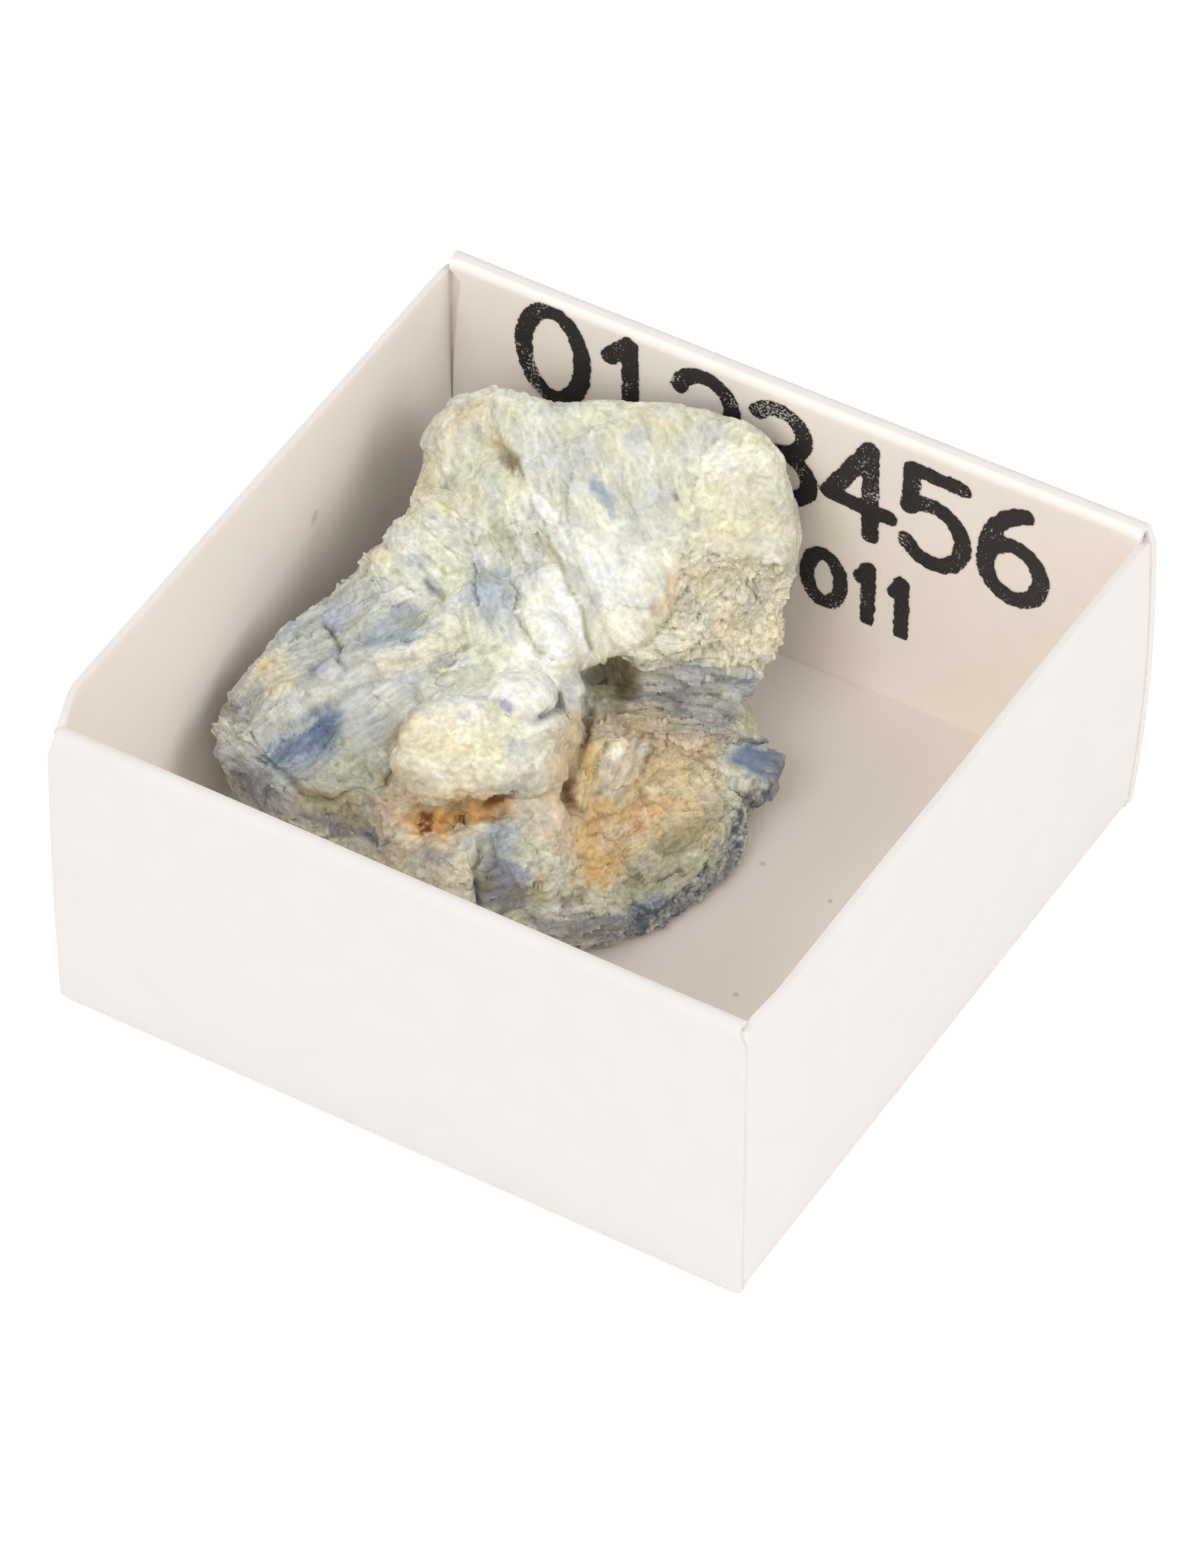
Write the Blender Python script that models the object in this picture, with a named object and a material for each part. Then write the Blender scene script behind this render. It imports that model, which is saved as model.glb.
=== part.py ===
"""Kyanite specimen lying in a small folded card tray.

Two pieces: the tray, one folded sheet of white card, and the stone, one lump of grown-together blades.
Metres, +Z up. The origin is the middle of the tray's underside. +X runs along the front wall, and -Y is
the front. Sizes are named in millimetres and turned into metres where a mesh is made.
"""

import math

import bmesh
import bpy
import numpy as np

MM = 0.001

# Tray
TRAY_WIDTH = 40.0  # along X, outside
TRAY_DEPTH = 40.4  # along Y, outside
CARD = 0.4  # one layer of card
FLOOR_TOP = 1.0  # two layers and the air between them
FLOOR_INSET = 0.1  # the floor ends this far inside the walls' outer faces
FOLDED_WALL = 1.2  # front and back walls, folded over to two layers
FRONT_HEIGHT = 19.2
BACK_HEIGHT = 19.75
SIDE_HEIGHT = 19.0
FOLD_INSET = 0.6  # the folded tops stop this short of the corners
SHOULDER = 1.3  # the outer layer's top corners slope off from this far below the fold
LAYER_END = 0.4  # the outer layer turns over into the fold this far below its top
FOLD_RISE = 0.8  # height of a fold's arch as a share of half the wall's thickness
TAB_DROP = 0.3  # a side wall's ends are this much lower than its middle
TAB_SLOPE = 1.5  # length of that slope along the wall
TAB_STEPS = 3
TAB_REACH = 4.0  # how far a side wall's tab runs into the folded wall
TAB_COVER = 0.8  # the fold rises at least this much over a tab
TAB_LIFT = 0.2  # a tab starts this far above the tray's underside
BOW = 0.15  # walls swell outwards by this much at mid height
LEFT_SPLAY = 0.95  # how far each wall's top stands out beyond its foot
RIGHT_SPLAY = 0.35
BACK_SPLAY = 0.3
BACK_TWIST = 0.3  # more splay at the back wall's right end, and less at its left end
FRONT_SPLAY = 0.05
SPLAY_POWER = 2.4  # most of the splay comes in a wall's lower half
HELD_RUN = 4.0  # beside the front wall the side walls are held upright over this length
HELD_CUTS = (0.5, 1.2, 2.0, 2.8)  # distances behind the front wall at which that stretch is cut to bend
BOW_LEVELS = 7
CUT_TOLERANCE = 0.0001  # points this close to a cut lie on it
SIDE_ZONE = 19.45  # everything further out along X than this is a side wall
FOLDED_ZONE = 18.5  # and further out along Y than this, a folded wall
SLOT_TOP = 0.6  # wedge-shaped gap between the back wall's inner layer and the left wall
SLOT_DEPTH = 11.0
CORNER_ROUNDING = 0.35  # radius of the creases at the tray's outer edges
CORNER_STEPS = 3
FOLD_STEPS = 6  # flats round a folded top

# The stone's best face is looked at along this direction, from this far: its outline and its forms are given
# on a sheet through the tray, square to that view, across and up from the sheet's middle.
SHOW_AZIMUTH, SHOW_ELEVATION = 30.83, 45.6  # from the front towards +X, and upwards
SHOW_DISTANCE = 627.9
SHEET_MIDDLE = (-0.04, 6.26)  # of the tray's own middle

# Stone: masses that have grown together. Each row is a name, a centre, half sizes, corner rounding, and
# the turn in degrees: spun about its own thickness, tipped about X, then headed about Z.
HEART = (-7.2, 6.0, 6.2)  # every part of the surface is reached straight from here
MASSES = (
    ("slab heel", (-6.0, 14.3, 14.0), (7.8, 4.3, 4.0), 1.4, (-2, 40, 28)),
    ("slab tongue", (-5.7, 10.9, 12.3), (3.4, 6.3, 3.4), 0.6, (24, 46, 31)),
    ("right flank", (-2.2, 12.9, 10.3), (3.9, 5.0, 4.0), 1.8, (30, 58, 52)),
    ("left knob", (-13.2, 12.4, 12.7), (3.3, 4.0, 4.2), 2.2, (12, 40, 20)),
    ("saddle", (-11.4, 7.2, 9.4), (4.6, 5.0, 5.2), 2.2, (35, 40, 28)),
    ("bridge", (-9.4, 2.6, 9.4), (4.4, 3.6, 4.2), 1.8, (38, 44, 31)),
    ("white lobe", (-6.2, 5.3, 11.7), (1.9, 2.8, 1.9), 0.6, (20, 46, 31)),
    ("white knob", (-5.4, 2.5, 11.3), (2.0, 2.3, 1.9), 0.7, (30, 48, 24)),
    ("left lobe", (-12.8, -1.8, 6.9), (5.3, 6.4, 4.6), 2.0, (-25, 16, -6)),
    ("left ledge", (-13.1, -3.4, 10.9), (6.4, 1.5, 1.0), 0.3, (38, 34, 12)),
    ("cream lump", (-5.8, -2.3, 10.2), (3.9, 2.9, 3.5), 1.5, (14, 46, 26)),
    ("right lobe", (-1.2, 2.8, 3.0), (5.4, 7.4, 2.6), 2.2, (8, 30, 62)),
    ("blue tip", (2.4, 8.0, 3.4), (2.2, 1.2, 0.9), 0.3, (-16, 14, 44)),
    ("back mass", (-4.8, 9.6, 5.8), (5.8, 5.8, 5.4), 3.0, (0, 0, 20)),
    ("front foot", (-7.4, -3.2, 4.2), (6.2, 4.8, 4.4), 2.2, (0, 0, -12)),
    ("slate block", (-2.9, -4.4, 4.0), (2.5, 2.5, 3.4), 0.4, (20, 12, 10)),
    ("shoulder", (-1.9, 2.0, 7.5), (2.2, 3.0, 1.6), 0.9, (-10, 52, 45)),
    ("toe", (0.7, -3.5, 2.8), (2.5, 2.2, 1.5), 0.8, (0, 15, 35)),
)
BLEND = 0.9  # width over which neighbouring masses run together

# Hollows in the same form: each is taken out of the masses.
HOLLOWS = (
    ("cave under the slab", (-0.6, 6.4, 9.0), (5.2, 1.8, 2.6), 0.9, (0, 46, 42)),
    ("rust hollow", (-4.6, -7.1, 8.8), (2.4, 1.2, 1.2), 0.5, (-14, 46, 31)),
    ("right lobe dish", (3.5, 1.1, 6.4), (3.4, 4.0, 1.5), 1.3, (8, 33, 62)),
    ("gap beside the slate", (-4.6, -6.4, 6.6), (0.5, 1.6, 1.2), 0.2, (0, 60, 20)),
)
HOLLOW_BLEND = 0.5

REST_HEIGHT = 1.3  # the stone's underside, just clear of the floor
BACK_LIMIT = 18.4  # it stays in front of the back wall
LEFT_LIMIT = -19.2  # and beside the left wall

# The outline on the sheet, anticlockwise from the lower right. The front wall hides the stretch between its
# last point and its first.
OUTLINE = (
    (1.0, -9.4), (2.6, -8.7), (3.9, -8.0), (5.6, -6.6), (6.7, -5.2), (7.5, -3.6), (8.1, -1.9), (8.7, -0.7),
    (9.2, 0.1), (9.7, 1.1), (9.2, 1.5), (8.3, 1.8), (8.1, 2.5), (7.6, 4.2), (8.3, 4.4), (8.4, 5.7),
    (9.4, 6.4), (9.5, 7.8), (9.3, 8.7), (9.7, 9.9), (10.2, 12.1), (10.1, 14.1), (9.7, 15.5), (9.2, 16.6),
    (8.7, 17.2), (7.9, 18.0), (5.6, 18.9), (1.8, 19.2), (-2.3, 19.2), (-3.7, 19.3), (-4.6, 19.7),
    (-5.2, 19.9), (-6.2, 19.8), (-7.4, 19.0), (-8.7, 17.2), (-9.3, 15.7), (-9.5, 13.6), (-10.3, 13.0),
    (-11.0, 11.8), (-12.0, 11.1), (-12.1, 10.6), (-13.9, 9.3), (-15.9, 7.9), (-17.4, 6.4), (-18.3, 4.8),
    (-19.3, 3.9), (-19.9, 2.4), (-19.7, 1.6), (-19.4, 0.3), (-18.9, -0.7),
)
OUTLINE_MIDDLE = (-2.1, 4.4)
OUTLINE_BINS = 240
HIDDEN_ANGLE = 240  # at this angle round the middle, behind the front wall, the masses' own outline stays
INNER_POWER = 3  # points well inside the outline move this much less

# Forms on the sheet: middle, half sizes along and across, angle, height and softness of the border.
RAISED = (
    ("white lobe", (-2.7, 8.3), (3.0, 1.75), -66, 0.5, 0.25),
    ("bright flake", (-2.8, 13.5), (1.2, 0.5), -58, 0.45, 0.3),
    ("ridge beside the stained pit", (-6.4, 15.6), (3.2, 1.1), -52, 0.5, 0.5),
    ("upper right lump", (6.8, 14.2), (2.6, 2.0), 20, 0.5, 0.4),
    ("streaked rib", (5.2, 11.4), (2.4, 1.2), 40, 0.4, 0.5),
    ("tongue", (1.4, 9.6), (3.6, 2.4), -80, 0.5, 0.4),
    ("ledge", (-14.4, 4.1), (6.0, 0.9), 29, 0.55, 0.25),
    ("upper ledge", (-9.3, 7.0), (3.0, 0.8), 24, 0.35, 0.3),
    ("cream lump", (-6.6, 1.6), (3.6, 2.2), 12, 0.9, 0.35),
    ("white knob", (-3.9, 5.0), (2.0, 1.6), -40, 0.4, 0.4),
    ("shoulder under the knob", (-1.9, 2.7), (1.4, 1.0), 40, 0.5, 0.4),
    ("pale block", (0.6, 0.1), (1.6, 1.1), 70, 0.6, 0.25),
    ("ochre rib", (2.9, -1.6), (1.6, 0.9), -30, 0.35, 0.4),
    ("lip under the rust", (-9.9, -3.3), (2.2, 0.9), -20, 0.4, 0.4),
    ("left cream patch", (-16.4, 4.9), (1.6, 1.2), 20, 0.3, 0.5),
)
SUNK = (
    ("stained pit", (-4.9, 15.9), (1.2, 0.5), -62, 0.55, 0.4),
    ("cave", (0.9, 4.7), (1.3, 1.0), 30, 1.4, 0.5),
    ("granular flank", (5.6, 8.7), (2.6, 2.4), 10, 0.45, 0.5),
    ("blue-grey fan", (-10.5, 7.3), (1.8, 1.0), 18, 0.4, 0.35),
    ("deep blue hollow", (-15.1, 1.6), (1.8, 1.1), 35, 0.4, 0.35),
    ("rust hollow", (-7.3, -2.1), (2.6, 0.7), 6, 0.6, 0.4),
    ("dark hole", (-1.7, -0.9), (0.5, 0.6), 0, 0.9, 0.6),
    ("notch above the slate", (-6.0, -4.6), (1.4, 0.7), 20, 0.5, 0.5),
)

# Cracks on the sheet: path, width and depth.
CRACKS = (
    ("beside the slab", ((-1.9, 10.3), (-1.5, 9.5), (-0.8, 8.0), (-0.4, 6.3)), 0.3, 0.4),
    ("beside the cream", ((-9.4, 4.2), (-9.9, 3.0), (-11.0, 1.6), (-10.7, 0.4), (-11.1, -0.5)), 0.3, 0.35),
    ("in the right lobe", ((-0.6, 3.6), (-0.9, 2.2), (-1.3, 0.6), (-1.9, -1.0), (-1.4, -2.6)), 0.3, 0.4),
    ("beside the slate", ((-6.3, -3.9), (-6.3, -7.0)), 0.3, 0.7),
    ("right of the tongue", ((4.9, 9.9), (4.3, 9.1), (3.2, 7.5), (2.3, 6.9)), 0.3, 0.5),
)

# Bladed growth on the sheet: middle, reach, angle, strip width, strip length and relief.
BLADES = (
    ((2.0, 14.0), 8.5, -72, 0.9, 4.5, 0.18),
    ((-14.0, 4.0), 7.5, 29, 0.9, 3.6, 0.24),
    ((5.5, 3.5), 4.5, -22, 0.8, 2.6, 0.24),
    ((3.0, -3.0), 7.0, 38, 0.8, 2.6, 0.20),
    ((-8.0, 10.0), 5.0, -58, 0.9, 3.4, 0.20),
)
LUMP_SIZE, LUMP_RELIEF = 4.2, 0.22  # broad unevenness
ROUGH_SIZE, ROUGH_RELIEF = 1.7, 0.18  # crumbs and chips
FACE_SIZE = 0.32  # even faces that the relief is put on
FACE_STEPS = 64  # grid steps along one side of the cube that is drawn out to the stone
START_REACH = 26.0  # rays start this far from the heart
RAY_STEPS = 80
RAY_SHARE = 0.6  # each step covers this share of the distance that is left
WELD_GAP = 0.001  # the cube's sides are joined where points lie this close
SHOWN_FROM, SHOWN_FULL = -0.35, 0.05  # how far a surface must turn to the show face to carry its forms
STONE_TRIANGLES = 8000


def clear_scene():
    for item in list(bpy.data.objects):
        bpy.data.objects.remove(item, do_unlink=True)


def material(name, colour, roughness):
    made = bpy.data.materials.new(name)
    made.use_nodes = True
    shader = made.node_tree.nodes["Principled BSDF"]
    shader.inputs["Base Color"].default_value = (*colour, 1.0)
    shader.inputs["Roughness"].default_value = roughness
    shader.inputs["Metallic"].default_value = 0.0
    return made


def add_object(name, mesh):
    item = bpy.data.objects.new(name, mesh)
    bpy.context.scene.collection.objects.link(item)
    return item


# The stone


def turned(spin, tip, heading):
    """The matrix that spins a point about Z, tips it about X, then heads it about Z again, in degrees."""

    def about_z(angle):
        cos, sin = math.cos(math.radians(angle)), math.sin(math.radians(angle))
        return np.array([[cos, -sin, 0], [sin, cos, 0], [0, 0, 1]])

    cos, sin = math.cos(math.radians(tip)), math.sin(math.radians(tip))
    about_x = np.array([[1, 0, 0], [0, cos, -sin], [0, sin, cos]])
    return about_z(heading) @ about_x @ about_z(spin)


def block_distance(points, centre, half, rounding, turn):
    """Distance to a turned box with rounded corners, negative inside."""
    local = np.abs((points - centre) @ turned(*turn)) - (np.array(half) - rounding)
    outside = np.linalg.norm(np.maximum(local, 0), axis=-1)
    inside = np.minimum(local.max(axis=-1), 0)
    return outside + inside - rounding


def blended(a, b, width):
    """The smaller of two distances, with a fillet of this width where they meet."""
    mix = np.clip(0.5 + 0.5 * (b - a) / width, 0, 1)
    return b + (a - b) * mix - width * mix * (1 - mix)


def scattered(cells, seed):
    """A fixed number from -1 to 1 for each whole-numbered cell, with no pattern to the eye."""
    key = np.full(cells.shape[:-1], seed * 974711, np.int64)
    for column, prime in zip(np.moveaxis(cells, -1, 0), (73856093, 19349663, 83492791)):
        key = (key ^ (column * prime)) & 0x7FFFFFFF
    key = (key ^ (key >> 15)) * 739387 & 0x7FFFFFFF
    key = (key ^ (key >> 13)) * 668265 & 0x7FFFFFFF
    return (key ^ (key >> 16)) % 20001 / 10000 - 1


def unevenness(points, size, seed):
    """Smooth random relief from -1 to 1 whose bumps are about this size."""
    place = points / size
    cell = np.floor(place).astype(np.int64)
    part = place - cell
    part = part * part * (3 - 2 * part)
    total = 0
    for corner in np.ndindex(2, 2, 2):
        weight = np.prod(np.where(np.array(corner) == 1, part, 1 - part), axis=-1)
        total = total + weight * scattered(cell + np.array(corner), seed)
    return total


def smooth_step(value, low, high):
    share = np.clip((value - low) / (high - low), 0, 1)
    return share * share * (3 - 2 * share)


def show_axes():
    """Directions on the sheet, to the right and up, and out towards whoever looks at the show face."""
    azimuth, elevation = math.radians(SHOW_AZIMUTH), math.radians(SHOW_ELEVATION)
    level = math.cos(elevation)
    out = np.array([math.sin(azimuth) * level, -math.cos(azimuth) * level, math.sin(elevation)])
    right = np.array([math.cos(azimuth), math.sin(azimuth), 0.0])
    return right, np.cross(out, right), out


def on_sheet(points):
    """Where points appear on the sheet, across and up."""
    right, up, out = show_axes()
    nearer = SHOW_DISTANCE / (SHOW_DISTANCE - points @ out)
    return (points @ right - SHEET_MIDDLE[0]) * nearer, (points @ up - SHEET_MIDDLE[1]) * nearer


def mass_distance(points):
    """Distance to the surface of the stone's joined masses in millimetres, negative inside."""
    distance = None
    for _, *form in MASSES:
        one = block_distance(points, *form)
        distance = one if distance is None else blended(distance, one, BLEND)
    for _, *form in HOLLOWS:
        distance = -blended(-distance, block_distance(points, *form), HOLLOW_BLEND)
    return distance


def kept_in_tray(points):
    """Points drawn back to the flat faces that the stone turns to the floor and to two of the walls."""
    x, y, z = points.T
    kept = np.maximum(x, LEFT_LIMIT), np.minimum(y, BACK_LIMIT), np.maximum(z, REST_HEIGHT)
    return np.stack(kept, axis=1)


def fit_outline(points):
    """Moves points across the sheet, most at the silhouette, until the silhouette is the outline."""
    right, up, _ = show_axes()
    across, rise = on_sheet(points)
    across, rise = across - OUTLINE_MIDDLE[0], rise - OUTLINE_MIDDLE[1]
    angle, radius = np.degrees(np.arctan2(rise, across)) % 360, np.hypot(across, rise)
    edge = np.zeros(OUTLINE_BINS)
    np.maximum.at(edge, (angle * OUTLINE_BINS / 360).astype(int) % OUTLINE_BINS, radius)
    centres = (np.arange(OUTLINE_BINS) + 0.5) * 360 / OUTLINE_BINS
    wanted = np.array(OUTLINE) - OUTLINE_MIDDLE
    wanted_angle = np.degrees(np.arctan2(wanted[:, 1], wanted[:, 0])) % 360
    order = np.argsort(wanted_angle)
    wanted_radius = np.hypot(*wanted.T)[order]
    ratio = np.interp(centres, wanted_angle[order], wanted_radius, period=360) / edge
    first, last = wanted_angle[-1], wanted_angle[0]
    hidden = (centres > first) & (centres < last)
    ends = np.interp([first, last], centres, ratio)
    ratio[hidden] = np.interp(centres[hidden], (first, HIDDEN_ANGLE, last), (ends[0], 1.0, ends[1]))
    share = np.clip(radius / np.interp(angle, centres, edge, period=360), 0, 1) ** INNER_POWER
    move = (np.interp(angle, centres, ratio, period=360) - 1) * share
    return points + right * (across * move)[:, None] + up * (rise * move)[:, None]


def spot(across, rise, middle, half, angle):
    """Distance from a form's middle, as a share of its size."""
    turn = math.radians(angle)
    along = (across - middle[0]) * math.cos(turn) + (rise - middle[1]) * math.sin(turn)
    aside = (rise - middle[1]) * math.cos(turn) - (across - middle[0]) * math.sin(turn)
    return np.hypot(along / half[0], aside / half[1])


def near_path(across, rise, path):
    """Distance on the sheet to a path of straight runs."""
    nearest = np.full(across.shape, np.inf)
    for start, end in zip(path[:-1], path[1:]):
        run = np.array(end) - np.array(start)
        share = np.clip(((across - start[0]) * run[0] + (rise - start[1]) * run[1]) / (run @ run), 0, 1)
        gap = np.hypot(across - start[0] - run[0] * share, rise - start[1] - run[1] * share)
        nearest = np.minimum(nearest, gap)
    return nearest


def blade_relief(across, rise, middle, reach, angle, width, length, relief, seed):
    """Ridges drawn out along an angle, as blades that grew side by side leave them."""
    turn = math.radians(angle)
    along = (across * math.cos(turn) + rise * math.sin(turn)) / length
    aside = (rise * math.cos(turn) - across * math.sin(turn)) / width
    field = unevenness(np.stack([along, aside, np.zeros_like(along)], axis=1), 1.0, seed)
    fade = 1 - smooth_step(np.hypot(across - middle[0], rise - middle[1]) / reach, 0.6, 1.1)
    return field * relief * fade


def show_relief(points):
    """Height of the forms, cracks and blades at points of the show face."""
    across, rise = on_sheet(points)
    relief = np.zeros(len(points))
    for way, rows in ((1, RAISED), (-1, SUNK)):
        for _, middle, half, angle, height, soft in rows:
            inside = 1 - smooth_step(spot(across, rise, middle, half, angle), 1 - soft, 1 + soft)
            relief += way * height * inside
    for _, path, width, depth in CRACKS:
        relief -= depth * np.exp(-((near_path(across, rise, path) / width) ** 2))
    for seed, blades in enumerate(BLADES):
        relief += blade_relief(across, rise, *blades, 90 + 3 * seed)
    return relief


def cube_directions(steps):
    """Directions through a grid on the six faces of a cube, and the grid's quads."""
    line = np.tan(np.linspace(-math.pi / 4, math.pi / 4, steps + 1))
    across, up = np.meshgrid(line, line, indexing="ij")
    ahead = np.ones_like(across)
    index = np.arange((steps + 1) ** 2).reshape(steps + 1, steps + 1)
    one = np.stack([index[:-1, :-1], index[1:, :-1], index[1:, 1:], index[:-1, 1:]], axis=-1).reshape(-1, 4)
    faces, quads = [], []
    for axis in range(3):
        for side in (1, -1):
            corner = np.stack([ahead * side, across * side, up], axis=-1)
            faces.append(np.roll(corner, axis, axis=-1).reshape(-1, 3))
            quads.append(one + len(quads) * index.size)
    directions = np.concatenate(faces)
    return directions / np.linalg.norm(directions, axis=1, keepdims=True), np.concatenate(quads)


def add_even_faces(item):
    even = item.modifiers.new("even faces", "REMESH")
    even.mode = "VOXEL"
    even.voxel_size = FACE_SIZE * MM


def remeshed(points, quads):
    """A closed mesh of even faces over the solved grid, whose side borders are welded first."""
    rough = bpy.data.meshes.new("solved masses")
    rough.from_pydata((points * MM).tolist(), [], quads.tolist())
    item = add_object("solved masses", rough)
    weld = item.modifiers.new("welded borders", "WELD")
    weld.merge_threshold = WELD_GAP * MM
    add_even_faces(item)
    evaluated = item.evaluated_get(bpy.context.evaluated_depsgraph_get())
    mesh = bpy.data.meshes.new_from_object(evaluated)
    mesh.name = "kyanite_stone"
    bpy.data.objects.remove(item)
    return mesh


def build_stone():
    """Every grid direction is followed inwards from outside until it meets the masses. The surface is then
    fitted to the outline and given its relief."""
    directions, quads = cube_directions(FACE_STEPS)
    reach = np.full(len(directions), START_REACH)
    for _ in range(RAY_STEPS):
        reach -= RAY_SHARE * mass_distance(np.array(HEART) + directions * reach[:, None])
    points = kept_in_tray(fit_outline(np.array(HEART) + directions * reach[:, None]))
    mesh = remeshed(points, quads)
    points, normals = np.array([(vert.co, vert.normal) for vert in mesh.vertices]).swapaxes(0, 1)
    points = points / MM
    shown = smooth_step(normals @ show_axes()[2], SHOWN_FROM, SHOWN_FULL)
    relief = LUMP_RELIEF * unevenness(points, LUMP_SIZE, 3)
    relief += ROUGH_RELIEF * unevenness(points, ROUGH_SIZE, 7)
    relief += shown * show_relief(points)
    points = kept_in_tray(points + normals * relief[:, None])
    mesh.vertices.foreach_set("co", (points * MM).ravel())
    mesh.materials.append(material("pale blue kyanite", (0.50, 0.55, 0.55), 0.6))
    stone = add_object("kyanite_stone", mesh)
    add_even_faces(stone)
    fewer = stone.modifiers.new("fewer faces", "DECIMATE")
    fewer.ratio = STONE_TRIANGLES / (2 * len(mesh.polygons))
    return stone


# The tray


def prism(name, outline, axis, low, high):
    """A closed solid: an outline drawn in the other two axes, carried along one axis from low to high."""
    rings = []
    for level in (low, high):
        ring = [list(point) for point in outline]
        for point in ring:
            point.insert(axis, level)
        rings.append(ring)
    count = len(outline)
    sides = [(i, (i + 1) % count, count + (i + 1) % count, count + i) for i in range(count)]
    mesh = bpy.data.meshes.new(name)
    points = [tuple(value * MM for value in point) for ring in rings for point in ring]
    mesh.from_pydata(points, [], [tuple(range(count)), tuple(range(count, 2 * count)), *sides])
    work = bmesh.new()
    work.from_mesh(mesh)
    bmesh.ops.recalc_face_normals(work, faces=work.faces)
    work.to_mesh(mesh)
    work.free()
    return add_object(name, mesh)


def rectangle(low_a, low_b, high_a, high_b):
    return [(low_a, low_b), (high_a, low_b), (high_a, high_b), (low_a, high_b)]


def folded_outline(outer, inner, height):
    """A wall's section across Y and Z: straight sides and a half-round top where the card folds over."""
    middle, radius = (outer + inner) / 2, (inner - outer) / 2
    turn = [math.pi * step / FOLD_STEPS for step in range(FOLD_STEPS + 1)]
    rise = abs(radius) * FOLD_RISE
    top = [(middle + radius * math.cos(a), height - rise + rise * math.sin(a)) for a in turn]
    return [(outer, 0.0), (inner, 0.0), *top]


def folded_wall(name, side, height):
    """The front or back wall: its folded-over double layer, and its outer layer with sloping shoulders."""
    outer = side * TRAY_DEPTH / 2
    inner = outer - side * FOLDED_WALL
    reach = TRAY_WIDTH / 2
    end = reach - FOLD_INSET
    fold = prism(name, folded_outline(outer, inner, height), 0, -end, end)
    shoulder = [
        (-reach, 0.0),
        (reach, 0.0),
        (reach, height - SHOULDER),
        (end, height - LAYER_END),
        (-end, height - LAYER_END),
        (-reach, height - SHOULDER),
    ]
    low, high = sorted((outer, outer - side * CARD))
    return [fold, prism(name + " outer layer", shoulder, 1, low, high)]


def side_wall(name, side):
    """The left or right wall: one layer of card whose ends drop to the tabs that the folded walls hold."""
    end = TRAY_DEPTH / 2 - CARD
    outline = [(-end, 0.0), (end, 0.0), (end, SIDE_HEIGHT - TAB_DROP)]
    slope = [step / TAB_STEPS for step in range(1, TAB_STEPS + 1)]
    outline += [(end - TAB_SLOPE * t, SIDE_HEIGHT - TAB_DROP * (1 - t) ** 2) for t in slope]
    outline += [(-y, z) for y, z in reversed(outline[2:])]
    outer = side * TRAY_WIDTH / 2
    low, high = sorted((outer, outer - side * CARD))
    parts = [prism(name, outline, 0, low, high)]
    for way in (1, -1):
        layer = way * (TRAY_DEPTH / 2 - CARD)
        near, far = sorted((layer, layer - way * CARD))
        low, high = sorted((outer, outer - side * TAB_REACH))
        tab = rectangle(low, TAB_LIFT, high, FRONT_HEIGHT - TAB_COVER)
        parts.append(prism(name + " tab", tab, 1, near, far))
    return parts


def combine(base, others, operation):
    """Joins or cuts the base with each of the others by exact Booleans, and removes the others."""
    for other in others:
        step = base.modifiers.new(operation.lower(), "BOOLEAN")
        step.operation = operation
        step.object = other
        step.solver = "EXACT"
    bpy.context.view_layer.update()
    graph = bpy.context.evaluated_depsgraph_get()
    mesh = bpy.data.meshes.new_from_object(base.evaluated_get(graph))
    base.modifiers.clear()
    base.data = mesh
    for other in others:
        bpy.data.objects.remove(other, do_unlink=True)
    return base


def rounded_block():
    """A tall block as wide as the tray, with its upright edges and bottom edges rounded."""
    reach, depth = TRAY_WIDTH / 2, TRAY_DEPTH / 2
    block = prism("rounded block", rectangle(-reach, -depth, reach, depth), 2, 0.0, 2 * BACK_HEIGHT)
    work = bmesh.new()
    work.from_mesh(block.data)
    top = max(vert.co.z for vert in work.verts)
    edges = [edge for edge in work.edges if min(vert.co.z for vert in edge.verts) < top / 2]
    bmesh.ops.bevel(
        work, geom=edges, offset=CORNER_ROUNDING * MM, segments=CORNER_STEPS, profile=0.5, affect="EDGES"
    )
    work.to_mesh(block.data)
    work.free()
    return block


def cut_at(work, place, direction):
    geometry = work.verts[:] + work.edges[:] + work.faces[:]
    bmesh.ops.bisect_plane(work, geom=geometry, dist=CUT_TOLERANCE * MM, plane_co=place, plane_no=direction)


def splay_walls(item):
    """Cuts the tray at even levels, then leans its walls outwards with a shallow arch over their height."""
    work = bmesh.new()
    work.from_mesh(item.data)
    for level in range(1, BOW_LEVELS):
        cut_at(work, (0, 0, FRONT_HEIGHT * level / BOW_LEVELS * MM), (0, 0, 1))
    inner_front = -TRAY_DEPTH / 2 + FOLDED_WALL
    for cut in HELD_CUTS:
        cut_at(work, (0, (inner_front + cut) * MM, 0), (0, 1, 0))
    for vert in work.verts:
        x, y, z = vert.co / MM
        share = min(z / FRONT_HEIGHT, 1)
        swell = BOW * 4 * share * (1 - share)
        lean = 1 - (1 - share) ** SPLAY_POWER
        free = float(smooth_step(y, inner_front, inner_front + HELD_RUN - FOLDED_WALL))
        if x < -SIDE_ZONE:
            x -= (LEFT_SPLAY * lean + swell) * free
        if x > SIDE_ZONE:
            x += (RIGHT_SPLAY * lean + swell) * free
        if y > FOLDED_ZONE:
            y += (BACK_SPLAY + BACK_TWIST * 2 * x / TRAY_WIDTH) * lean + swell
        if y < -FOLDED_ZONE:
            y -= FRONT_SPLAY * lean + swell
        vert.co = (x * MM, y * MM, vert.co.z)
    work.to_mesh(item.data)
    work.free()


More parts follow.
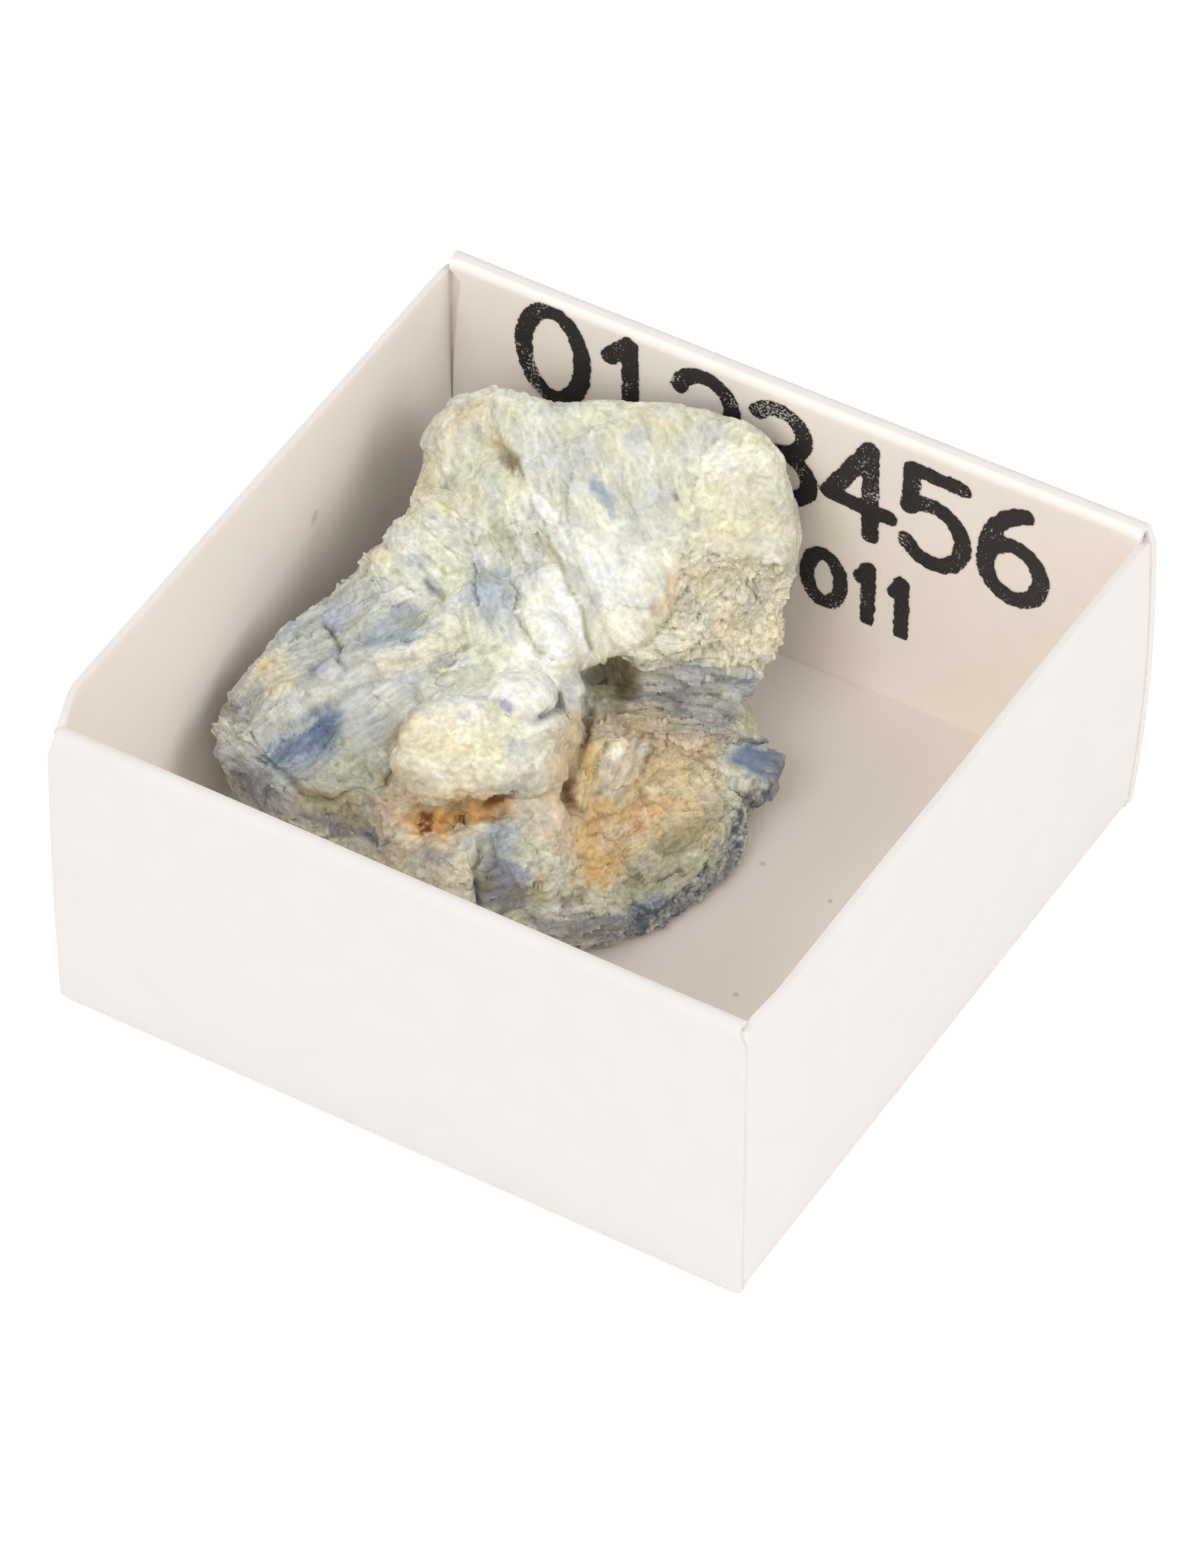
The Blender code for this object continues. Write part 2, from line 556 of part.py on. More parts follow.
def build_tray():
    reach, depth = TRAY_WIDTH / 2, TRAY_DEPTH / 2
    wide, deep = reach - FLOOR_INSET, depth - FLOOR_INSET
    tray = prism("card_tray", rectangle(-wide, -deep, wide, deep), 2, 0.0, FLOOR_TOP)
    walls = folded_wall("front wall", -1, FRONT_HEIGHT) + folded_wall("back wall", 1, BACK_HEIGHT)
    walls += side_wall("left wall", -1) + side_wall("right wall", 1)
    combine(tray, walls, "UNION")
    corner = -reach + CARD
    above = BACK_HEIGHT + 1
    wedge = [(corner, above), (corner + SLOT_TOP, above), (corner, BACK_HEIGHT - SLOT_DEPTH)]
    inner = depth - FOLDED_WALL
    combine(tray, [prism("slot", wedge, 1, inner - 1, inner + CARD)], "DIFFERENCE")
    combine(tray, [rounded_block()], "INTERSECT")
    splay_walls(tray)
    tray.data.materials.clear()
    tray.data.materials.append(material("white card", (0.89, 0.86, 0.83), 0.7))
    return tray


clear_scene()
build_tray()
build_stone()
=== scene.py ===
# Looks of a kyanite specimen that lies in a folded card tray. Lengths are in millimetres until a mesh is
# made.
import math

import bmesh
import bpy
import numpy as np
from mathutils import Matrix, Vector


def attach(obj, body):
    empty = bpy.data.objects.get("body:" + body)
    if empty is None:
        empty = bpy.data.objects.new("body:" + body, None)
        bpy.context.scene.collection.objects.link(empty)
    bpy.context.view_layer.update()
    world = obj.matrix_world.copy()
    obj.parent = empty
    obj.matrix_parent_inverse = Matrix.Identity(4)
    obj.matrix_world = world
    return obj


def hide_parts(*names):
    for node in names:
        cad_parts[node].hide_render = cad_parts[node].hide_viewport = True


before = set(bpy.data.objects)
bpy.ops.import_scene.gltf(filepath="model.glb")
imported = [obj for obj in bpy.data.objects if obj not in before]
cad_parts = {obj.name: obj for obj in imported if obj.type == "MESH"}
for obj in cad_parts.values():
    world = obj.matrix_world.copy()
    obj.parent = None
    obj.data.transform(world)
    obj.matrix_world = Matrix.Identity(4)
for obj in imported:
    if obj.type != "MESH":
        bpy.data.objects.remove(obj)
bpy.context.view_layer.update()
mm = 0.001

# The camera looks at the stone's best face. Azimuth is turned from the front towards +X.
view = {"azimuth": 30.83, "elevation": 45.6, "distance": 627.86, "lens": 283.74, "sensor": 36.0,
        "offset": (-0.04, 6.26)}


def facing(azimuth, elevation):
    # Three unit vectors: to the viewer's right, up in their picture, and out towards them.
    a, e = math.radians(azimuth), math.radians(elevation)
    out = np.array([math.sin(a) * math.cos(e), -math.cos(a) * math.cos(e), math.sin(e)])
    right = np.array([math.cos(a), math.sin(a), 0.0])
    return right, np.cross(out, right), out


faceRight, faceUp, faceOut = facing(view["azimuth"], view["elevation"])


def onShowFace(points):
    # Where points appear on a sheet held square to the view through the tray's middle, in millimetres.
    depth = points @ faceOut
    nearer = view["distance"] / (view["distance"] - depth)
    across = (points @ faceRight - view["offset"][0]) * nearer
    up = (points @ faceUp - view["offset"][1]) * nearer
    return across, up


def addCamera():
    lens = bpy.data.cameras.new("camera")
    lens.lens = view["lens"]
    lens.sensor_width = view["sensor"]
    lens.sensor_fit = "AUTO"
    lens.clip_start = 0.01
    camera = bpy.data.objects.new("camera", lens)
    bpy.context.scene.collection.objects.link(camera)
    across, up = view["offset"]
    place = faceRight * across + faceUp * up + faceOut * view["distance"]
    turn = Matrix([[faceRight[i], faceUp[i], faceOut[i]] for i in range(3)])
    camera.matrix_world = Matrix.Translation(Vector(place * mm)) @ turn.to_4x4()
    bpy.context.scene.camera = camera


addCamera()
print("camera placed")


# Shader maths: a wrapped socket that adds Math nodes as it is reckoned with.
class Wire:
    def __init__(self, finish, socket):
        self.finish = finish
        self.socket = socket

    def reckon(self, operation, other, turned=False):
        first, second = (other, self) if turned else (self, other)
        return self.finish.node("ShaderNodeMath", {"operation": operation}, {0: first, 1: second})

    def __add__(self, other):
        return self.reckon("ADD", other)

    def __radd__(self, other):
        return self.reckon("ADD", other, True)

    def __sub__(self, other):
        return self.reckon("SUBTRACT", other)

    def __rsub__(self, other):
        return self.reckon("SUBTRACT", other, True)

    def __mul__(self, other):
        return self.reckon("MULTIPLY", other)

    def __rmul__(self, other):
        return self.reckon("MULTIPLY", other, True)

    def __pow__(self, other):
        return self.reckon("POWER", other)

    def step(self, low, high):
        # A smooth step: 0 below low, 1 above high.
        inputs = {0: self, 1: low, 2: high, 3: 0.0, 4: 1.0}
        return self.finish.node("ShaderNodeMapRange", {"interpolation_type": "SMOOTHSTEP"}, inputs)


# One material. Its node method adds any node: its type, its settings, then values or links for its sockets.
class Finish:
    def __init__(self, name):
        self.material = bpy.data.materials.new(name)
        self.material.use_nodes = True
        self.tree = self.material.node_tree
        self.shader = self.tree.nodes["Principled BSDF"]
        self.place = self.node("ShaderNodeTexCoord", {}, {}, "Object")

    def node(self, kind, settings, inputs, output=0):
        made = self.tree.nodes.new(kind)
        for name, value in settings.items():
            if name == "stops":
                ramp = made.color_ramp
                while len(ramp.elements) < len(value):
                    ramp.elements.new(0.5)
                for element, (place, colour) in zip(ramp.elements, value):
                    element.position = place
                    element.color = (*colour, 1.0)
            else:
                setattr(made, name, value)
        for name, value in inputs.items():
            self.feed(made.inputs[name], value)
        return Wire(self, made.outputs[output])

    def feed(self, socket, value):
        if isinstance(value, Wire):
            self.tree.links.new(value.socket, socket)
        else:
            socket.default_value = value

    def colour(self, red, green, blue):
        return (red, green, blue, 1.0)

    def mixed(self, share, a, b, blend="MIX"):
        settings = {"data_type": "RGBA", "blend_type": blend}
        return self.node("ShaderNodeMix", settings, {0: share, 6: a, 7: b}, 2)

    def stretched(self, scale, turn=(0, 0, 0)):
        # Object coordinates in millimetres, scaled and turned for a pattern.
        size = tuple(s / mm for s in scale)
        inputs = {"Vector": self.place, "Scale": size, "Rotation": tuple(math.radians(t) for t in turn)}
        return self.node("ShaderNodeMapping", {}, inputs)

    def noise(self, scale, detail=3.0, turn=(0, 0, 0), rough=0.55):
        inputs = {"Vector": self.stretched(scale, turn), "Scale": 1.0, "Detail": detail, "Roughness": rough}
        return self.node("ShaderNodeTexNoise", {}, inputs)

    def grainAlong(self, place, scale, detail=3.0, rough=0.6):
        # Noise over places other than the object's own, stretched by scale.
        stretched = self.node("ShaderNodeMapping", {}, {"Vector": place, "Scale": scale})
        inputs = {"Vector": stretched, "Scale": 1.0, "Detail": detail, "Roughness": rough}
        return self.node("ShaderNodeTexNoise", {}, inputs)

    def distance(self, point):
        # Distance of a surface point from this one, in millimetres.
        there = tuple(p * mm for p in point)
        away = self.node("ShaderNodeVectorMath", {"operation": "DISTANCE"}, {0: self.place, 1: there}, 1)
        return away * (1 / mm)

    def within(self, low, high, soft):
        # 1 inside a box, easing to 0 outside it.
        parts = self.node("ShaderNodeSeparateXYZ", {}, {0: self.place})
        share = 1.0
        for axis in range(3):
            here = Wire(self, parts.socket.node.outputs[axis]) * (1 / mm)
            above = here.step(low[axis] - soft, low[axis])
            share = above * here.step(high[axis] + soft, high[axis]) * share
        return share

    def set(self, **sockets):
        for name, value in sockets.items():
            label = name[0].upper() + "".join(" " + c if c.isupper() else c for c in name[1:])
            self.feed(self.shader.inputs[label], value)
        return self

    def bumped(self, height, strength, distance):
        inputs = {"Strength": strength, "Distance": distance * mm, "Height": height}
        return self.node("ShaderNodeBump", {}, inputs)


# Numbers scattered over space, for relief worked out on whole arrays.
def scattered(cells, seed):
    # A fixed number from -1 to 1 for each whole-numbered cell.
    key = np.full(cells.shape[:-1], seed * 974711, np.int64)
    for column, prime in zip(np.moveaxis(cells, -1, 0), (73856093, 19349663, 83492791)):
        key = (key ^ (column * prime)) & 0x7FFFFFFF
    key = (key ^ (key >> 15)) * 739387 & 0x7FFFFFFF
    key = (key ^ (key >> 13)) * 668265 & 0x7FFFFFFF
    return (key ^ (key >> 16)) % 20001 / 10000 - 1


def unevenness(points, size, seed):
    # Values at the corners of cells this size, blended smoothly between the corners.
    place = points / size
    cell = np.floor(place).astype(np.int64)
    part = place - cell
    part = part * part * (3 - 2 * part)
    total = 0
    for corner in np.ndindex(2, 2, 2):
        weight = np.prod(np.where(np.array(corner) == 1, part, 1 - part), axis=-1)
        total = total + weight * scattered(cell + np.array(corner), seed)
    return total


def layered(points, size, seed, layers=3):
    # Unevenness at this size, plus half as much at half the size, and so on.
    total = 0
    for layer in range(layers):
        total = total + unevenness(points, size / 2 ** layer, seed + 31 * layer) / 2 ** layer
    return total / (2 - 2 ** (1 - layers))


def facets(place, seed):
    # Space split into jittered cells one unit wide, each cut off along a tilted plane of its own.
    cell = np.floor(place).astype(np.int64)
    nearest = np.full(len(place), 99.0)
    height = np.zeros(len(place))
    for step in np.ndindex(3, 3, 3):
        one = cell + np.array(step) - 1
        centre = one + 0.5 + 0.4 * np.stack([scattered(one, seed + i) for i in range(3)], axis=1)
        away = place - centre
        distance = (away ** 2).sum(axis=1)
        tilt = np.stack([scattered(one, seed + 3 + i) for i in range(3)], axis=1)
        closer = distance < nearest
        height[closer] = (scattered(one, seed + 6) * 0.5 + (away * tilt).sum(axis=1))[closer]
        nearest[closer] = distance[closer]
    return height


def smoothStep(value, low, high):
    share = np.clip((value - low) / (high - low), 0, 1)
    return share * share * (3 - 2 * share)


def nearPath(u, v, path):
    # Distance on a sheet to a path of straight runs.
    nearest = np.full(u.shape, 99.0)
    for a, b in zip(path[:-1], path[1:]):
        run = np.array(b) - np.array(a)
        share = np.clip(((u - a[0]) * run[0] + (v - a[1]) * run[1]) / (run @ run), 0, 1)
        nearest = np.minimum(nearest, np.hypot(u - a[0] - run[0] * share, v - a[1] - run[1] * share))
    return nearest


# Meshes
def gridMesh(name, points, wrapU=False, wrapV=False):
    # Quads over a grid of points whose first axis is u and second is v, closed round an axis that wraps.
    rows, columns = points.shape[:2]
    index = np.arange(rows * columns).reshape(rows, columns)
    if wrapU:
        index = np.concatenate([index, index[:1]])
    if wrapV:
        index = np.concatenate([index, index[:, :1]], axis=1)
    corners = [index[:-1, :-1], index[1:, :-1], index[1:, 1:], index[:-1, 1:]]
    return quadMesh(name, points.reshape(-1, 3), np.stack(corners, axis=-1).reshape(-1, 4))


def quadMesh(name, points, quads):
    mesh = bpy.data.meshes.new(name)
    mesh.vertices.add(len(points))
    mesh.vertices.foreach_set("co", (points * mm).astype(np.float32).ravel())
    mesh.loops.add(quads.size)
    mesh.loops.foreach_set("vertex_index", quads.astype(np.int32).ravel())
    mesh.polygons.add(len(quads))
    mesh.polygons.foreach_set("loop_start", np.arange(0, quads.size, 4, dtype=np.int32))
    mesh.update(calc_edges=True)
    mesh.validate()
    return mesh


def pointsOf(mesh):
    values = np.empty(len(mesh.vertices) * 3, np.float32)
    mesh.vertices.foreach_get("co", values)
    return values.reshape(-1, 3).astype(float) / mm


def normalsOf(mesh):
    values = np.empty(len(mesh.vertices) * 3, np.float32)
    mesh.vertex_normals.foreach_get("vector", values)
    return values.reshape(-1, 3).astype(float)


def putPoints(mesh, points):
    mesh.vertices.foreach_set("co", (points * mm).astype(np.float32).ravel())
    mesh.update()


def addObject(name, mesh):
    item = bpy.data.objects.new(name, mesh)
    bpy.context.scene.collection.objects.link(item)
    return item


def bakeModifiers(item):
    # Leaves the object with the mesh that its modifiers make, and no modifiers.
    bpy.context.view_layer.update()
    graph = bpy.context.evaluated_depsgraph_get()
    mesh = bpy.data.meshes.new_from_object(item.evaluated_get(graph))
    item.modifiers.clear()
    item.data = mesh
    return item


def finished(item, finish, sharpAngle=40):
    item.data.materials.clear()
    item.data.materials.append(finish.material)
    item.data.shade_smooth()
    item.data.set_sharp_from_angle(angle=math.radians(sharpAngle))
    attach(item, "root")
    return item


# The tray: one strip of card makes the floor and both folded walls, and two more sheets make the sides.
tray = {"halfWidth": 20.0, "halfDepth": 20.2, "card": 0.39, "layer": 0.40, "front": 19.2, "back": 19.75,
        "side": 19.0, "bow": 0.15, "crease": 0.3, "foldRise": 0.45, "wave": 0.05, "stripColumns": 96,
        "floorTop": 1.0, "leftSplay": 0.95, "rightSplay": 0.35, "backSplay": 0.3, "backTwist": 0.3,
        "frontSplay": 0.05, "cornerRun": 4.0}


def lean(height):
    # How much of its splay a wall has at a height: most of it comes in the lower half.
    share = np.clip(height / tray["side"], 0, 1.05)
    return 1 - (1 - np.clip(share, 0, 1)) ** 2.4 + (share - np.clip(share, 0, 1))


def splayed(points):
    # Walls stand out of true: they lean outwards, swell a little at mid height and wave. Where the left wall
    # is held by the front one it stays upright, and the back wall leans most at its right end.
    x, y, z = points[..., 0], points[..., 1], points[..., 2]
    share = np.clip(z / tray["front"], 0, 1)
    swell = tray["bow"] * 4 * share * (1 - share)
    held = smoothStep(y, -tray["halfDepth"] + 0.4, -tray["halfDepth"] + tray["cornerRun"])
    leftShare = smoothStep(-x, 16.5, 19.4) * (0.05 + 0.95 * held)
    rightShare = smoothStep(x, 17.5, 19.4) * (0.3 + 0.7 * held)
    backShare = smoothStep(y, 17.0, 18.9)
    frontShare = smoothStep(-y, 17.0, 18.9)
    wave = unevenness(points * (1, 1, 0.8), 9.0, 41) * tray["wave"] * smoothStep(z, 1.5, 9)
    out = points.copy()
    out[..., 0] += rightShare * (tray["rightSplay"] * lean(z) + swell + wave)
    out[..., 0] -= leftShare * (tray["leftSplay"] * lean(z) + swell + wave)
    backLean = tray["backSplay"] + tray["backTwist"] * x / tray["halfWidth"]
    out[..., 1] += backShare * (backLean * lean(z) + swell + wave)
    out[..., 1] -= frontShare * (tray["frontSplay"] * lean(z) + swell + wave)
    return out


def arc(middleA, middleB, radiusA, radiusB, start, end, steps):
    turn = np.radians(np.linspace(start, end, steps))
    return np.stack([middleA + radiusA * np.cos(turn), middleB + radiusB * np.sin(turn)], axis=1)


def line(a, b, steps):
    share = np.linspace(0, 1, steps)[:, None]
    return np.array(a) * (1 - share) + np.array(b) * share


def halfStrip(height):
    # The strip's middle surface from the middle of the upper floor layer, out, up the inner wall, over the
    # fold, down the outer wall, and back under the floor: distance out from the middle, and height.
    layer, crease = tray["layer"], tray["crease"]
    outer = tray["halfDepth"] - layer / 2
    inner = tray["halfDepth"] - 2.5 * layer
    low, high = layer / 2, tray["floorTop"] - layer / 2
    top = height - layer / 2 - tray["foldRise"]
    middle, reach = (outer + inner) / 2, (outer - inner) / 2
    runs = [line((0, high), (inner - 0.2, high), 14), arc(inner - 0.15, high + 0.15, 0.15, 0.15, -80, 0, 4),
            line((inner, high + 0.5), (inner, top), 26),
            arc(middle, top, -reach, tray["foldRise"], 10, 170, 12),
            line((outer, top), (outer, low + crease + 0.3), 26),
            arc(outer - crease, low + crease, crease, crease, 0, -90, 7),
            line((outer - crease - 0.3, low), (0, low), 14)]
    return np.concatenate(runs)


def strip():
    back, front = halfStrip(tray["back"]), halfStrip(tray["front"])
    section = np.concatenate([back[:-1] * (1, 1), front[::-1][:-1] * (-1, 1)])
    out, height = section[:, 0], section[:, 1]
    isWall = np.abs(out) > tray["halfDepth"] - 3.2 * tray["layer"]
    isOuter = np.abs(out) > tray["halfDepth"] - 1.2 * tray["layer"]
    isBack = out > 0
    below = np.clip(np.where(isBack, tray["back"], tray["front"]) - height, 0, 30)
    # How far each line of the section runs left and right: outer layers reach the corners and slope off at
    # the top, inner layers stop inside the side walls, and one inner end leaves a wedge-shaped slot.
    shoulder = 0.32 * smoothStep(1.5 - below, 0, 1.2)
    inside = tray["halfWidth"] - tray["layer"] - 0.05
    atFold = tray["halfWidth"] - 0.34
    right = np.where(isOuter, tray["halfWidth"] - shoulder, np.where(below < 0.9, atFold, inside))
    left = right.copy()
    slot = 0.75 * np.clip(1 - below / 11.0, 0, 1) ** 1.3
    left = np.where(isBack & ~isOuter, inside - slot, left)
    left = np.where(isBack & (below < 1.0), tray["halfWidth"] - 0.45, left)
    left = np.where(isWall, left, inside + 0.15)
    right = np.where(isWall, right, inside + 0.15)
    share = np.linspace(0, 1, tray["stripColumns"])
    x = -left[:, None] * (1 - share) + right[:, None] * share
    y = np.broadcast_to(out[:, None], x.shape)
    z = np.broadcast_to(height[:, None], x.shape)
    points = np.stack([x, y, z], axis=-1)
    points[..., 2] += unevenness(points, 7.0, 44) * 0.05 * smoothStep(points[..., 2], 17, 19)
    return splayed(points)


def sideSheet(side):
    # The sheet's middle line seen from above, from one tab round two corners to the other, carried upwards.
    layer, bend, height = tray["layer"], 0.22, tray["side"]
    x0 = tray["halfWidth"] - layer / 2
    y0 = tray["halfDepth"] - 1.5 * layer
    quarter = arc(x0 - bend, y0 - bend, bend, bend, 90, 0, 6)
    plan = np.concatenate([line((x0 - 3.6, y0), (x0 - bend - 0.2, y0), 10), quarter,
                           line((x0, y0 - bend - 0.3), (x0, 0), 40)])
    plan = np.concatenate([plan[:-1] * (1, -1), plan[::-1]])
    # Distance from the corner, along the wall or along the tab.
    run = np.minimum(np.abs(np.abs(plan[:, 1]) - y0), 30)
    top = height - 0.25 * np.clip(1 - run / 1.2, 0, 1) ** 1.6
    onTab = x0 - plan[:, 0]
    cover = np.where(plan[:, 1] < 0, tray["front"], tray["back"]) - 0.85
    top = np.where(onTab > 0.7, np.minimum(top, cover), top)
    z = 0.05 + np.linspace(0, 1, 40)[None, :] * (top[:, None] - 0.05)
    x = np.broadcast_to(plan[:, :1], z.shape).copy()
    y = np.broadcast_to(plan[:, 1:], z.shape).copy()
    curl = tray["crease"] * (1 - np.sqrt(1 - np.clip(1 - z / tray["crease"], 0, 1) ** 2))
    x = x - curl * (np.abs(y) < y0 - 0.1)
    return splayed(np.stack([x * side, y, z], axis=-1))


# Marks on the card: place, radius, colour and strength.
marks = [((-20.4, 5.75, 12.1), 0.4, (0.42, 0.37, 0.33), 0.45),
         ((6.4, 5.5, 1.0), 0.16, (0.45, 0.38, 0.34), 0.5),
         ((9.9, -3.2, 1.0), 0.14, (0.50, 0.42, 0.36), 0.5),
         ((10.7, 5.0, 1.0), 0.12, (0.45, 0.38, 0.34), 0.5)]


def cardFinish():
    finish = Finish("white card")
    mottle = finish.noise((0.35, 0.35, 0.35), 4.0)
    fibre = finish.noise((3.0, 3.0, 0.9), 5.0)
    grain = finish.noise((9.0, 9.0, 9.0), 2.0)
    smear = finish.noise((1.5, 1.5, 1.5), 3.0)
    # The card's outer faces are painted darker than its inner ones, as painted shade against the bright
    # floor's light, and the inner faces painted warmer, as painted light bounced between the card walls.
    inside = finish.node("ShaderNodeAttribute", {"attribute_name": "inside"}, {}, "Fac")
    floor = finish.within((-19.6, -19.2, 0.9), (19.6, 19.2, 1.1), 0.25)
    cloud = mottle.step(0.3, 0.7)
    outer = finish.mixed(cloud, finish.colour(0.725, 0.69, 0.662), finish.colour(0.74, 0.705, 0.68))
    inner = finish.mixed(cloud, finish.colour(0.930, 0.858, 0.788), finish.colour(0.942, 0.875, 0.810))
    base = finish.mixed(inside, outer, inner)
    # The tray's floor is painted darker and warmer than its walls, as painted shade.
    base = finish.mixed(floor, base, finish.colour(0.875, 0.80, 0.74))
    base = finish.mixed(fibre.step(0.56, 0.8) * 0.16, base, finish.colour(0.80, 0.74, 0.68))
    for place, radius, colour, strength in marks:
        share = (smear - finish.distance(place) * (0.5 / radius)).step(-0.25, 0.25)
        base = finish.mixed(share * strength, base, finish.colour(*colour))
    rough = 0.55 + grain * 0.2
    relief = fibre * 0.6 + grain * 0.4
    finish.set(baseColor=base, roughness=rough, normal=finish.bumped(relief, 0.25, 0.03))
    return finish


def makeTray():
    card = cardFinish()
    sheets = [("tray_folded_strip", strip(), True), ("tray_left_side", sideSheet(-1), False),
              ("tray_right_side", sideSheet(1), False)]
    for name, points, wraps in sheets:
        item = addObject(name, gridMesh(name, points, wrapU=wraps))
        wall = item.modifiers.new("card thickness", "SOLIDIFY")
        wall.thickness = tray["card"] * mm
        wall.offset = 0
        wall.use_even_offset = True
        edge = item.modifiers.new("soft edges", "BEVEL")
        edge.width = 0.05 * mm
        edge.segments = 2
        edge.limit_method = "ANGLE"
        edge.angle_limit = math.radians(60)
        bakeModifiers(item)
        # 1 on faces that look towards the tray's middle.
        points, normals = pointsOf(item.data), normalsOf(item.data)
        away = ((points - (0, 0, tray["side"] / 2)) * normals).sum(axis=1)
        inside = (1 - smoothStep(away, -5, 0)).astype(np.float32)
        item.data.attributes.new("inside", "FLOAT", "POINT").data.foreach_set("value", inside)
        finished(item, card)
        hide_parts("card_tray")
    return card


makeTray()
print("tray folded")

# Two rows of plain numbers stamped on the back wall's inside: the figures, where the first stands, the step
# from one to the next, height, width, half the stroke's width and how far the row drops to the right.
stamp = {"rows": [("0123456", (-14.3, 12.75), 4.53, 6.2, 3.5, 0.53, 0.045),
                  ("89", (-7.6, 7.0), 3.2, 3.2, 2.0, 0.46, 0.045),
                  ("10", (-0.5, 6.7), 2.4, 3.3, 2.0, 0.45, 0.045),
                  ("11", (4.5, 6.8), 2.0, 3.6, 1.4, 0.45, 0.045)],
         "low": (-17.5, 5.6), "high": (16.6, 19.4), "cell": 0.14, "reach": 0.45, "lift": 0.03}


def figurePaths(figure):
    # The strokes of a figure in a box from -0.5 to 0.5 across and 0 to 1 up.
    return {
        "0": [arc(0, 0.5, 0.5, 0.5, 0, 360, 25)],
        "1": [line((-0.34, 0.76), (0.02, 1), 2), line((0.02, 1), (0.02, 0), 2)],
        "2": [np.concatenate([arc(0, 0.71, 0.46, 0.29, 165, -35, 12), line((0.3, 0.45), (-0.48, 0), 2)]),
              line((-0.48, 0), (0.5, 0), 2)],
        "3": [arc(-0.04, 0.76, 0.42, 0.24, 150, -90, 12), arc(-0.04, 0.26, 0.5, 0.26, 90, -150, 14)],
        "4": [line((0.2, 0), (0.2, 1), 2), line((0.2, 1), (-0.5, 0.3), 2), line((-0.5, 0.3), (0.5, 0.3), 2)],
        "5": [line((0.44, 1), (-0.38, 1), 2), line((-0.38, 1), (-0.44, 0.56), 2),
              arc(-0.06, 0.33, 0.52, 0.33, 140, -145, 16)],
        "6": [arc(0, 0.3, 0.46, 0.3, 0, 360, 20), arc(0.42, 0.36, 0.88, 0.66, 105, 184, 10)],
        "8": [arc(0, 0.76, 0.38, 0.24, 0, 360, 18), arc(0, 0.27, 0.48, 0.27, 0, 360, 20)],
        "9": [arc(0, 0.7, 0.46, 0.3, 0, 360, 20), arc(-0.42, 0.64, 0.88, 0.66, -75, 4, 10)],
    }[figure]


def makeStamp():
    # A sheet of small cells just off the wall, of which those near a stroke are kept. Each corner
    # carries its depth inside the nearest stroke, in millimetres.
    (x0, z0), (x1, z1) = stamp["low"], stamp["high"]
    across = np.arange(x0, x1, stamp["cell"])
    up = np.arange(z0, z1, stamp["cell"])
    x, z = np.meshgrid(across, up, indexing="ij")
    depth = np.full(x.shape, -9.0)
    for figures, start, step, height, width, half, drop in stamp["rows"]:
        for index, figure in enumerate(figures):
            middle = start[0] + index * step
            for path in figurePaths(figure):
                placed = np.stack([middle + path[:, 0] * width, start[1] + path[:, 1] * height], axis=1)
                placed[:, 1] -= drop * (placed[:, 0] - stamp["rows"][0][1][0])
                depth = np.maximum(depth, half - nearPath(x, z, placed))
    y = np.full_like(x, tray["halfDepth"] - 3 * tray["layer"] - stamp["lift"])
    points = np.stack([x, y, z], axis=-1)
    mesh = gridMesh("tray_stamp", splayed(points)[::-1])
    work = bmesh.new()
    work.from_mesh(mesh)
    near = depth[::-1].ravel() > -stamp["reach"]
    work.verts.ensure_lookup_table()
    ink = work.verts.layers.float.new("ink")
    for vert, value in zip(work.verts, depth[::-1].ravel()):
        vert[ink] = value
    bmesh.ops.delete(work, geom=[vert for vert, kept in zip(work.verts, near) if not kept], context="VERTS")
    work.to_mesh(mesh)
    work.free()
    finish = Finish("stamp ink")
    inside = finish.node("ShaderNodeAttribute", {"attribute_name": "ink"}, {}, "Fac")
    ragged = finish.noise((2.6, 2.6, 2.6), 3.0)
    speck = finish.noise((7.0, 7.0, 7.0), 3.0)
    worn = finish.noise((0.42, 0.42, 0.42), 1.0)
    edge = (inside + (ragged - 0.5) * 0.35).step(-0.03, 0.05)
    holes = (speck + (worn - 0.5) * 0.9 - 0.64).step(0.0, 0.06)
    finish.set(baseColor=finish.colour(0.018, 0.014, 0.018), roughness=0.5, alpha=edge * (1 - holes * 0.8))
    item = finished(addObject("tray_stamp", mesh), finish)
    print("stamp faces", len(mesh.polygons))
    return item


makeStamp()
print("numbers stamped")

